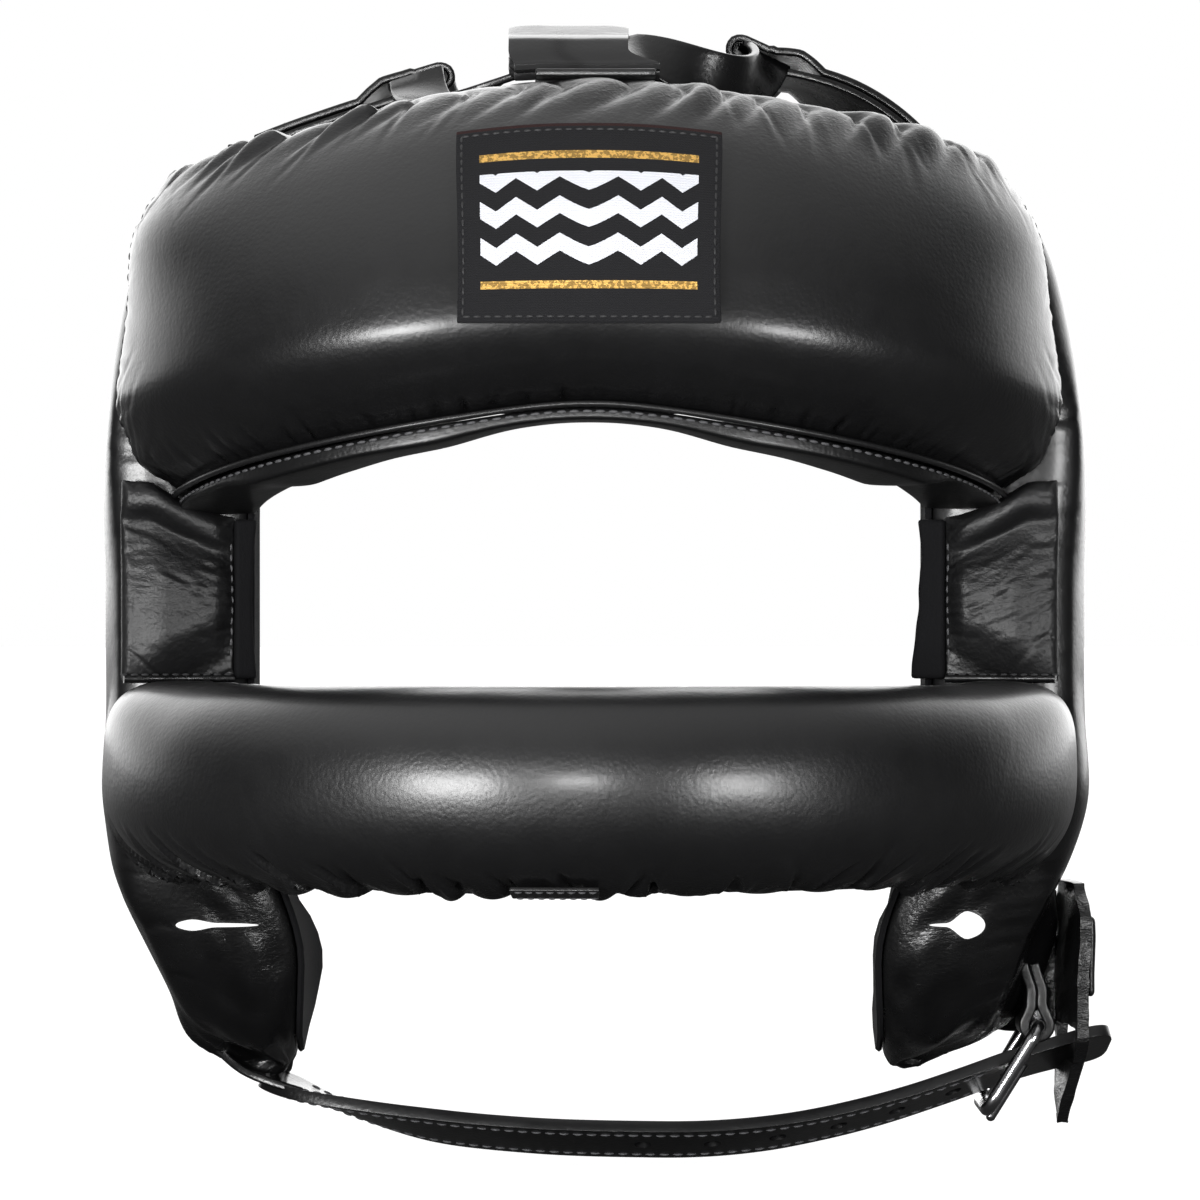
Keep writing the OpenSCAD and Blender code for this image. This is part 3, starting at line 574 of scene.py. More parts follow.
class Look:
    """One material, put together from expressions on its sockets."""

    def __init__(self, name, kind="materials"):
        self.material = getattr(bpy.data, kind).new(name)
        self.material.use_nodes = True
        self.tree = self.material.node_tree
        self.tree.nodes.clear()
        self.end = self.node("OutputWorld" if kind == "worlds" else "OutputMaterial")

    def node(self, kind, settings=None, sockets=None):
        made = self.tree.nodes.new("ShaderNode" + kind)
        for key, value in (settings or {}).items():
            if key == "stops":
                ramp = made.color_ramp
                while len(ramp.elements) < len(value):
                    ramp.elements.new(0.5)
                for element, (where, colour) in zip(ramp.elements, value):
                    element.position, element.color = where, colour
            else:
                setattr(made, key, value)
        for key, value in (sockets or {}).items():
            self.feed(made.inputs[key], value)
        return made

    def feed(self, socket, value):
        if isinstance(value, Val):
            self.tree.links.new(value.socket, socket)
        elif hasattr(value, "node"):
            self.tree.links.new(value, socket)
        else:
            socket.default_value = value

    def maths(self, operation, a, b, clamp=False):
        made = self.node("Math", {"operation": operation, "use_clamp": clamp}, {0: a, 1: b})
        return Val(self, made.outputs[0])

    def step(self, value, low, high):
        """Smooth step of a value between two limits."""
        made = self.node("MapRange", {"interpolation_type": "SMOOTHSTEP"},
                         {"Value": value, "From Min": low, "From Max": high})
        return Val(self, made.outputs[0])

    def mix(self, share, a, b):
        """Colour a turned towards colour b by share."""
        a, b = [(*c, 1) if isinstance(c, (tuple, list)) and len(c) == 3 else c for c in (a, b)]
        made = self.node("Mix", {"data_type": "RGBA", "clamp_factor": True}, {0: share, 6: a, 7: b})
        return Val(self, made.outputs[2])

    def place(self, stretch=(1, 1, 1), turn=(0, 0, 0)):
        """Object coordinates, stretched and turned."""
        at = self.node("TexCoord").outputs["Object"]
        return Val(self, self.node("Mapping", None, {
            "Vector": at, "Scale": stretch, "Rotation": turn}).outputs[0])

    def noise(self, at, scale, detail=2.0, rough=0.5, warp=0.0):
        return Val(self, self.node("TexNoise", None, {
            "Vector": at, "Scale": scale, "Detail": detail, "Roughness": rough,
            "Distortion": warp}).outputs[0])

    def cells(self, at, scale, feature="F1", spread=1.0):
        return Val(self, self.node("TexVoronoi", {"feature": feature}, {
            "Vector": at, "Scale": scale, "Randomness": spread}).outputs["Distance"])

    def attribute(self, name, part="Fac"):
        return Val(self, self.node("Attribute", {"attribute_name": name}).outputs[part])

    def parts(self, vector):
        made = self.node("SeparateXYZ", None, {0: vector})
        return [Val(self, made.outputs[i]) for i in range(3)]

    def bump(self, height, depth, strength=1.0, over=None):
        sockets = {"Height": height, "Distance": depth, "Strength": strength}
        if over is not None:
            sockets["Normal"] = over
        return Val(self, self.node("Bump", None, sockets).outputs[0])

    def in_view(self, seen):
        """1 for rays from the camera, also through glass, and 0 for the rest."""
        return self.maths("MAXIMUM", seen.outputs["Is Camera Ray"],
                          seen.outputs["Is Transmission Ray"])

    def mix_shader(self, share, a, b):
        return self.node("MixShader", None, {0: share, 1: a.outputs[0], 2: b.outputs[0]})

    def surface(self, **sockets):
        """The Principled shader, with spaces in socket names written as underscores."""
        made = self.node("BsdfPrincipled", None, {
            key.replace("_", " "): value for key, value in sockets.items()})
        self.tree.links.new(made.outputs[0], self.end.inputs[0])
        return self.material


def leather_look(name, colour, roughness, grain=1.0, coat=0.3):
    """Smooth hide with fine pores, soft mottling and crumpled places, and painted shade: darker,
    duller places where the fold attribute is set.
    """
    look = Look(name)
    at = look.place()
    pores = look.cells(at, 950, "SMOOTH_F1", 0.9)
    fine = look.noise(at, 2100, 3, 0.6)
    broad = look.noise(at, 26, 3, 0.55)
    patchy = look.noise(at, 160, 3, 0.6)
    fold = look.attribute("fold")
    crinkle = look.attribute("crinkle")
    crumple = look.noise(look.place((1, 1, 2.1)), 430, 2, 0.6, 0.5)
    ridge = 1 - look.maths("ABSOLUTE", crumple * 2 - 1, 0.0)
    pale = tuple(min(1, c * 1.6 + 0.001) for c in colour)
    # dark is the painted shade colour: the fold attribute turns the hide towards it in folds,
    # hollows and covered places
    dark = tuple(c * 0.4 for c in colour)
    tone = look.mix((broad * 0.7 + patchy * 0.5 - 0.15).kept(), colour, pale)
    tone = look.mix((fold * 0.9).kept(), tone, dark)
    gloss = (roughness + 0.12 * (broad - 0.5) + 0.1 * (patchy - 0.5) - 0.1 * fold
             + 0.03 * (fine - 0.5)).kept()
    height = (pores * 0.55 + fine * 0.3) * grain + patchy * 0.8 - crinkle * ridge ** 2 * 3.2
    relief = look.bump(height, 0.00016, 0.55)
    return look.surface(Base_Color=tone, Roughness=gloss, IOR=1.5, Coat_Weight=coat * (1 - fold),
                        Coat_Roughness=0.2, Normal=relief)


def thread_look(name, colour):
    """Twisted thread."""
    look = Look(name)
    twist = look.noise(look.place(), 1500, 2)
    tone = look.mix(twist, tuple(c * 0.6 for c in colour), colour)
    return look.surface(Base_Color=tone, Roughness=0.62 + 0.15 * (twist - 0.5),
                        Normal=look.bump(twist, 0.0002, 0.6))


def cloth_look(name, ground, white, gold):
    """Woven patch: a dark twill with plain chevrons in white and straight bars in gold thread."""
    look = Look(name)
    u, v, _ = look.parts(look.attribute("place", "Vector"))
    across, along = u * 54.0, v * 45.0
    slant = look.node("Math", {"operation": "PINGPONG"}, {0: u * 6.0, 1: 0.5})
    zig = Val(look, slant.outputs[0])
    rows = look.maths("FRACT", v * 5.4 - zig * 0.75, 0.0)
    chevron = rows.above(0.52) * v.between(0.27, 0.75) * u.between(0.1, 0.9)
    bars = (v.between(0.165, 0.205) + v.between(0.815, 0.855)) * u.between(0.1, 0.9)
    warp = look.maths("SINE", across * 9.0, 0.0)
    weft = look.maths("SINE", along * 11.0 + 1.2 * warp, 0.0)
    weave = (weft * warp * 0.5 + 0.5).kept()
    fuzz = look.noise(look.place(), 1700, 3, 0.6)
    tone = look.mix(weave * 0.5 + fuzz * 0.4, ground, tuple(c * 1.8 + 0.002 for c in ground))
    shaded = tuple(c * 0.8 for c in white)
    tone = look.mix(chevron, tone, look.mix((weave * 0.6).kept(), white, shaded))
    glint = look.noise(look.place(), 900, 2, 0.7)
    tone = look.mix(bars, tone, look.mix(glint.above(0.5), gold, tuple(c * 0.42 for c in gold)))
    tone = look.mix(v.above(0.982), tone, (0.028, 0.011, 0.011))
    raised = weave * 0.6 + fuzz * 0.3 + chevron * 0.9 + bars * 1.3
    return look.surface(Base_Color=tone, Roughness=(0.9 - bars * 0.4).kept(), Metallic=bars * 0.35,
                        Specular_IOR_Level=0.25, Normal=look.bump(raised, 0.00022, 0.8))


def lining_look(name, colour):
    """Soft brushed lining leather."""
    look = Look(name)
    nap = look.noise(look.place((1, 1, 0.5)), 1300, 4, 0.65)
    broad = look.noise(look.place(), 22, 3, 0.6)
    tone = look.mix((broad * 0.8 + nap * 0.4 - 0.1).kept(), colour, tuple(c * 1.9 for c in colour))
    return look.surface(Base_Color=tone, Roughness=0.88 + 0.1 * (nap - 0.5),
                        Specular_IOR_Level=0.15, Normal=look.bump(nap, 0.0003, 0.7))


def tape_look(name, hooked):
    """Hook tape in even rows of stiff hooks, or loop tape with a tangled pile."""
    look = Look(name)
    at = look.place()
    if hooked:
        pile = 1 - look.cells(at, 700, "F1", 0.25) * 1.6
    else:
        pile = look.noise(at, 1400, 5, 0.75, 0.6)
    tone = look.mix(pile.kept(), (0.006, 0.006, 0.007), (0.045, 0.045, 0.048))
    return look.surface(Base_Color=tone, Roughness=0.5 if hooked else 0.85,
                        Normal=look.bump(pile, 0.0006, 1.0))


def steel_look(name):
    """Bright nickel plate with faint draw marks and a little dulling."""
    look = Look(name)
    marks = look.noise(look.place((1, 12, 1)), 260, 3, 0.6)
    dull = look.noise(look.place(), 90, 3, 0.6)
    tone = look.mix(dull, (0.34, 0.34, 0.35), (0.54, 0.54, 0.55))
    return look.surface(Base_Color=tone, Metallic=1.0, Roughness=(0.12 + 0.16 * dull).kept(),
                        Normal=look.bump(marks, 0.00005, 0.5))


def rod_look(name):
    """Pale moulded plastic."""
    look = Look(name)
    grain = look.noise(look.place(), 700, 3)
    tone = look.mix(grain, (0.52, 0.5, 0.44), (0.62, 0.6, 0.54))
    return look.surface(Base_Color=tone, Roughness=0.5 + 0.1 * grain,
                        Normal=look.bump(grain, 0.0001, 0.4))


def metres(name, description, default, low, high):
    return FloatProperty(name=name, description=description, default=default, min=low, max=high,
                         unit="LENGTH")


def tint(name, description, *default):
    return FloatVectorProperty(name=name, description=description, default=default,
                               subtype="COLOR", min=0, max=1)


class HeadgearSizes(bpy.types.PropertyGroup):
    swell: metres("Swell", "Most that a stuffed pad may puff out", 0.0022, 0, 0.006)
    gather_depth: metres("Gather depth", "Depth of the gathers on the bar", 0.0017, 0, 0.004)
    gather_pitch: metres("Gather pitch", "Distance between two gathers", 0.0145, 0.004, 0.03)
    scallop_pitch: metres("Scallop pitch", "Distance between two scallops of the forehead's top",
                          0.015, 0.006, 0.03)
    stitch_pitch: metres("Stitch pitch", "Distance between two stitches", 0.003, 0.002, 0.006)


class HeadgearColours(bpy.types.PropertyGroup):
    hide: tint("Leather", "Colour of the outer leather", 0.0045, 0.0045, 0.0048)
    trim: tint("Trim", "Colour of the straps, tabs and trim", 0.0045, 0.0045, 0.0048)
    lining: tint("Lining", "Colour of the lining", 0.0035, 0.0035, 0.004)
    thread: tint("Thread", "Colour of the stitches", 0.09, 0.09, 0.095)
    patch: tint("Patch ground", "Ground colour of the woven patch", 0.008, 0.008, 0.009)
    white: tint("Patch white", "Light thread of the woven patch", 0.74, 0.75, 0.8)
    gold: tint("Patch gold", "Gold thread of the woven patch", 0.75, 0.45, 0.12)


LOOKS = {}


def looks():
    """The materials, made once."""
    if not LOOKS:
        c = bpy.context.scene.headgear_colours
        LOOKS.update(
            hide=leather_look("pad_leather", tuple(c.hide), 0.34),
            soft=leather_look("soft_leather", tuple(c.hide), 0.46, 2.2, 0.0),
            trim=leather_look("trim_leather", tuple(c.trim), 0.42, 1.2),
            strap=leather_look("strap_leather", tuple(c.trim), 0.34, 0.8),
            lining=lining_look("lining_leather", tuple(c.lining)),
            thread=thread_look("thread", tuple(c.thread)),
            dark_thread=thread_look("dark_thread", tuple(0.3 * t for t in c.thread)),
            cloth=cloth_look("woven_cloth", tuple(c.patch), tuple(c.white), tuple(c.gold)),
            hooks=tape_look("hook_tape", True), pile=tape_look("loop_tape", False),
            steel=steel_look("buckle_nickel"), rod=rod_look("rod_plastic"))
    return LOOKS


def sizes():
    return bpy.context.scene.headgear_sizes


def displace(piece, rise, fold, crinkle=0.0, shift=None):
    """Moves points along their normals by rise, and keeps each point's painted shade (fold) and how
    crumpled it lies.
    """
    moved = points_of(piece) + normals_of(piece) * rise[:, None]
    set_points(piece, moved if shift is None else moved + shift)
    put_attribute(piece, "fold", np.clip(fold, 0, 1))
    put_attribute(piece, "crinkle", np.clip(crinkle, 0, 1) + 0 * rise)


def smooth_leather(piece, shade=0.0):
    """Marks a flat piece as having no crumpling, and as darkened evenly by its shade."""
    for name, value in (("fold", shade), ("crinkle", 0.0)):
        put_attribute(piece, name, np.full(len(piece.data.vertices), value))


class HEADGEAR_OT_forehead(bpy.types.Operator):
    """Forehead pad with its gathered top edge, its lining and its stitched hem"""
    bl_idname = "headgear.forehead"
    bl_label = "Forehead pad"

    @staticmethod
    def droop(a):
        """How far the gathered top edge hangs below the CAD edge, more on the wearer's -X side."""
        left, right = ease((-a - 22) / 24), ease((a - 25) / 25) * (1 - ease((a - 58) / 12))
        return 2.0 - 1.6 * np.exp(-(a / 15) ** 2) + 4.2 * left * (1 - 0.4 * ease((-a - 60) / 12)) \
            + 1.5 * right

    @staticmethod
    def depth(a, z):
        """The pad's thickness with its fuller upper corners."""
        corner = ease((np.abs(a) - 35) / 30) * np.exp(-((z - 91) / 15) ** 2)
        jowl = ease((np.abs(a) - 50) / 15) * np.exp(-((z - 30.5) / 4) ** 2)
        v = (z - fore_low(a)) / (fore_high(a) - fore_low(a))
        rounder = 1 - np.clip(1 - v / 0.285, 0, 1) ** 2 \
            - np.sin(np.pi / 2 * np.clip(v / 0.28, 0, 1))
        return fore_t(a, z) + (4.0 - 0.8 * np.sign(a)) * corner + 3.4 * jowl + 17 * rounder

    def execute(self, context):
        size = sizes()
        seam = SEAM_A - 0.35

        def place(u, v, inset, w):
            a = (2 * u - 1) * (seam - 0.1 - inset / 2.2)
            low, tall = fore_low(a), fore_high(a) - fore_low(a) - self.droop(a)
            z = low + 0.15 + inset + v * (tall - 0.3 - 2 * inset)
            full = self.depth(a, low + v * tall)
            return wall(a, z, full + (LINING + LAYER_GAP - full) * w)

        nu, nv = 76, 24
        pad = closed_pad("forehead_pad", place, nu, nv, 5, 2.0)
        u, v, w = stuff(pad, nu, nv, size.swell / MM)
        a = (2 * u - 1) * seam
        s, top, low = a * 2.15, (1 - v) * 83 + w * 14, v * 80 + w * 20
        outer = 1 - ease(w / 0.25)
        rope = Puckers(-BROW_RUN, BROW_RUN, size.scallop_pitch / MM, 15, 11, 0.5, 0.3)
        twist = s + 1.5 * top
        rim = np.exp(-(top / 5.5) ** 2)
        lobes = rope.lobes(twist) * rim
        creases = rope.lines(s + 0.5 * top, np.maximum(top - 0.5, 0))
        pucker = Puckers(-BROW_RUN, BROW_RUN, 9, 7, 31, 0.2).lines(s, low)
        tension = Noise(5)(s / 70, v * 2.5) - 0.5
        seam_t = (1 - np.abs(2 * u - 1)) * 157
        ripple = Puckers(-10, 100, 6, 24, 17, -0.6).lines(83 - top, seam_t + 1.5)
        rise = outer * (1.3 * lobes - 0.3 * rim + 0.35 * creases + 0.3 * pucker
                        + 0.7 * tension + 0.36 * ripple * ease((top - 2) / 6))
        lift = (1.5 * rope.lobes(twist) - 0.3) * rim * (1 - 0.6 * w)
        # fold paints shade into the creases, the puckers and the pinches between the rim's lobes
        displace(pad, rise, outer * (-0.4 * creases - 0.5 * pucker - 0.3 * ripple
                                     + 0.5 * rim * (1 - rope.lobes(twist))),
                 outer * (0.35 * np.exp(-top / 9) + 0.3 * np.exp(-low / 5)
                          + 0.25 * np.exp(-seam_t / 9)), np.stack([0 * s, 0 * s, lift], -1))
        finish_piece(pad, "hide", "outer_leather", "forehead_cover", "forehead_foam")
        for side, hand in (("left", -1), ("right", 1)):
            z = np.linspace(34, 98, 130)
            b = hand * (seam - 2.6)
            stitches("forehead_seam_stitches_" + side, *laid_on(pad, wall(b, z, self.depth(b, z))),
                     "dark_thread", (2.6, 1.8, 0.55, 0.0))

        def lining_place(u, v):
            b = (2 * u - 1) * seam
            return wall(b, fore_low(b) + 1 + v * (fore_high(b) - fore_low(b) - 2), LINING / 2)

        liner = ribbon("forehead_liner", 60, 18, lining_place, LINING - 0.1, 0.45)
        finish_piece(liner, "lining", "lining", "forehead_lining")

        def hem_place(u, v, inset, w):
            b = (2 * u - 1) * (seam - inset / 2.2)
            ragged = 0.5 * (Noise(19)(b / 9, 0 * b) - 0.5) * (1 - v)
            out = np.abs(b)
            more = 1.5 * ease((out - 6) / 12) * (1 - ease((out - 44) / 10)) \
                - np.where(b > 0, 1.5, 0.2) * ease((out - 46) / 8)
            z = fore_low(b) - LAYER_GAP + 0.2 - (1 - v) * (HEM_H + more) \
                + inset * (1 - 2 * v) + ragged
            full = fore_t(b, fore_low(b))
            return wall(b, z, full + (0.1 - full) * w)

        hem = closed_pad("forehead_hem", hem_place, 110, 3, 12, 0.5)
        refine(hem, 1)
        finish_piece(hem, "trim", "trim_leather", "brow_hem", shade=0.6)

        b = np.linspace(-seam + 1.5, seam - 1.5, 300)
        full = fore_t(b, fore_low(b))
        hem_z = fore_low(b) - LAYER_GAP - HEM_H * 0.3
        outward = wall(b, hem_z, 9) - wall(b, hem_z, 8)
        stitches("forehead_hem_stitches", wall(b, hem_z, full), outward, "thread",
                 (size.stitch_pitch / MM, 2.1, 0.7, 0.05))
        rim_z = fore_low(b) + 0.4
        roll = tube("forehead_hem_piping", wall(b, rim_z, full + 1.4), 0.75)
        finish_piece(roll, "trim", "trim_leather", shade=0)
        return {"FINISHED"}


class HEADGEAR_OT_patch(bpy.types.Operator):
    """Woven patch sewn to the forehead pad"""
    bl_idname = "headgear.patch"
    bl_label = "Woven patch"

    def execute(self, context):
        def place(u, v, more=0.0):
            a = (2 * u - 1) * (11.8 + 3 * v * v)
            z = 63 + v * 45 + 2 * np.sin(np.pi * u) * v
            edge = np.minimum(np.minimum(u, 1 - u) * 60, np.minimum(v, 1 - v) * 45)
            bulge = 0.3 * stuffed(edge / 1.6) + 0.3 * (Noise(3)(u * 9, v * 8) - 0.5)
            return wall(a, z, fore_t(a, z) + 1.9 + bulge + more)

        patch = ribbon("woven_patch_cloth", 60, 52, place, 0.9, 0.3)
        finish_piece(patch, "cloth", "woven_cloth", "woven_patch")
        t = np.linspace(0, 1, 60)
        for name, start, end in (("bottom", (0.02, 0.03), (0.98, 0.03)),
                                 ("top", (0.02, 0.97), (0.98, 0.97)),
                                 ("left", (0.025, 0.03), (0.025, 0.97)),
                                 ("right", (0.975, 0.03), (0.975, 0.97))):
            u, v = (a + t * (b - a) for a, b in zip(start, end))
            stitches("patch_stitches_" + name, place(u, v, 0.5), place(u, v, 2) - place(u, v, 1),
                     "dark_thread", (2.4, 1.7, 0.6, 0.02), slot="woven_cloth")
        return {"FINISHED"}


class HEADGEAR_OT_sides(bpy.types.Operator):
    """Side pads with the ear notch, the jaw slit and their linings"""
    bl_idname = "headgear.sides"
    bl_label = "Side pads"

    def execute(self, context):
        for side, sign in (("right", 1), ("left", -1)):
            self.pad(side, sign)
        return {"FINISHED"}

    def pad(self, side, sign):
        size, flip = sizes(), np.array([sign, 1, 1])

        def place(u, v, inset, w):
            z0 = SIDE_LOW + v * (SIDE_HIGH - SIDE_LOW)
            a0 = side_front(z0) + inset / 2
            bay = np.exp(-((z0 + 74) / 4) ** 2)
            if sign > 0:
                more = -9 * ease((-66 - z0) / 10) + 3.5 * ease((-100 - z0) / 8) - 3 * bay
            else:
                more = 5.5 * np.exp(-((z0 + 96) / 9) ** 2) - 6 * ease((-107 - z0) / 8) - 6 * bay
            a1 = side_rear(z0) - inset / 2 + more
            z = z0 + (0.1 + inset) * (1 - 2 * v)
            low = ease((45 - z0) / 40)
            if sign > 0:
                slim = 1.6 * low * ease((z0 + 98) / 16) - 0.8 * (1 - low)
            else:
                slim = 1.2 + 2.9 * low * ease((z0 + 72) / 22) - 1.4 * ease((-60 - z0) / 20)
            jut = 7 * ease((u - 0.35) / 0.25) * ease((z0 + 114) / 14) * ease((-72 - z0) / 14)
            full = side_t(u, z0) - slim * stuffed((1 - u) / 0.3) + (jut * ease((1 - u) / 0.3)
                                                                    if sign > 0 else 0)
            full = full + 5.5 * ease((-98 - z0) / 14) * ease(u / 0.25) * ease((1 - u) / 0.3)
            drop = 3.6 * ease((-104 - z0) / 12) * ease(u / 0.3) * ease((1 - w) * 3)
            point = wall(a0 + u * (a1 - a0), z, full + (LINING + LAYER_GAP - full) * w)
            point[..., 2] -= drop * (1 if sign < 0 else 0.4)
            return point * flip

        nu, nv = 24, 48
        pad = closed_pad(side + "_side_pad", place, nu, nv, 5, 2.8)
        u, v, w = stuff(pad, nu, nv, size.swell / MM * 0.8)
        z = SIDE_LOW + v * (SIDE_HIGH - SIDE_LOW)
        outer = 1 - ease(w / 0.25)
        wide = (side_rear(z) - side_front(z)) * 1.9
        across, rear = u * wide, (1 - u) * wide
        soft = Noise(41 + sign)(z / 45, across / 40, 3 * w) - 0.5
        calm = 1 - 0.85 * ease((z - 50) / 25)
        # painted shade on the jaw lobes, below the bar
        lobe = 0.75 * ease((-58 - z) / 14)
        seam = Puckers(-120, 115, 11, 9, 51 + sign).lines(z, across + 1) * calm
        edge = Puckers(-120, 115, 9, 9, 57 + sign).lines(z, rear + 1) * calm
        under = Puckers(-10, 150, 8, 12, 61 + sign).lines(across, z - SIDE_LOW + 1)
        inside = ease((w - 0.15) / 0.2) * (1 - ease((w - 0.85) / 0.1))
        webbing = (Noise(47 + sign)(z / 7 + w * 2, w * 6 + across / 30) - 0.5) * inside
        rise = outer * (0.8 * soft + 0.25 * seam + 0.5 * edge + 0.6 * under) + 1.2 * webbing
        # fold paints shade into the creases, the webbing's hollows and the jaw lobes
        displace(pad, rise, outer * -0.5 * (seam + edge + under) + np.clip(-webbing, 0, 1) + lobe,
                 np.maximum(outer * 0.5 * np.exp(-(z - SIDE_LOW) / 12), 0.15 * inside))
        lining = closed_pad(side + "_side_liner", lambda u, v, inset, w: place(u, v, inset + 3, 1)
                            + self.inward(place, u, v, inset + 3, w), nu, nv, 2, 0.5)
        for piece in (pad, lining):
            self.cut_slit(piece, sign)
        finish_piece(pad, "hide", "outer_leather", side + "_side_cover", side + "_side_foam")
        finish_piece(lining, "lining", "lining", side + "_side_lining")
        if sign < 0:
            self.strap_root()
        else:
            self.web()

    @staticmethod
    def strap_root():
        """The sewn-down end of the chin strap, on the outside of the left lobe."""
        route = smooth_route(np.array([[-101.5, 4, -101], [-97.6, 2.5, -107], [-92.4, 0.5, -112.6],
                                       [-86.4, -1.5, -117.4], [-79, -3.4, -120.4],
                                       [-71, -6, -122.6]]), 6)

        def root(u, v):
            point = sample(route, v * (len(route) - 1))
            half = 4 + 5.4 * ease(v / 0.8)
            return point + np.stack([0 * u, (2 * u - 1) * half, -0.1 * (2 * u - 1) * half], -1)

        piece = ribbon("chin_strap_root", 14, 20, root, 2.2, 0.6)
        finish_piece(piece, "strap", "trim_leather", shade=0.9)

    @staticmethod
    def web():
        """Leather web from the right lobe out to the sewn top of the buckle guard."""
        def place(u, v):
            start = 101 - 6 * ease((v - 0.35) / 0.3)
            x = start + (117.6 - start) * u
            z = -73 - 33.5 * v - 2.5 * v * np.sin(np.pi * u)
            y = 20 - 9 * ease(u) + 1.2 * (Noise(151)(u * 4, v * 6) - 0.5)
            return np.stack([x, y, z], -1)

        piece = ribbon("guard_web", 24, 30, place, 2.2, 0.6)
        folds = Noise(153)(points_of(piece)[:, 2] / 3, points_of(piece)[:, 0] / 5)
        # painted shade: the web is darkened throughout and most in its folds
        displace(piece, 0.8 * (folds - 0.5), 0.6 + 0.4 * folds, 0.4)
        finish_piece(piece, "hide", "outer_leather")

    @staticmethod
    def inward(place, u, v, inset, w):
        """Step from the pad's inner face to a layer inside it, w 0 outside and 1 inside."""
        step = unit(place(u, v, inset, 1) - place(u, v, inset, 0))
        step[..., 2] = 0
        return unit(step) * (LAYER_GAP + np.asarray(w)[..., None] * (LINING - 0.05))

    @staticmethod
    def cut_slit(piece, sign):
        """Cuts the slit between the lower wing and the jaw lobe, which lets light through."""
        cutter = primitive(bpy.ops.mesh.primitive_cylinder_add, vertices=48, radius=1, depth=2,
                           rotation=(math.pi / 2, 0, 0))
        bpy.ops.object.transform_apply(location=False, rotation=True, scale=False)
        flat = points_of(cutter) * MM
        t = (flat[:, 0] + 1) / 2
        y = flat[:, 1] * 110
        if sign > 0:
            x, tall = 83.5 + 13.8 * t, 1.0 + 6.4 * ease((t - 0.3) / 0.4)
        else:
            x, tall = 81.5 + 20.5 * t, 1.0 + 2.6 * ease((t - 0.5) / 0.35)
        away = (CAMERA_AWAY + y) / SLIT_AWAY
        z = SLIT_Z + flat[:, 2] * tall / 2
        set_points(cutter, np.stack([sign * x * away, y, z * away], -1))
        face_outwards(cutter)
        cut(piece, cutter)


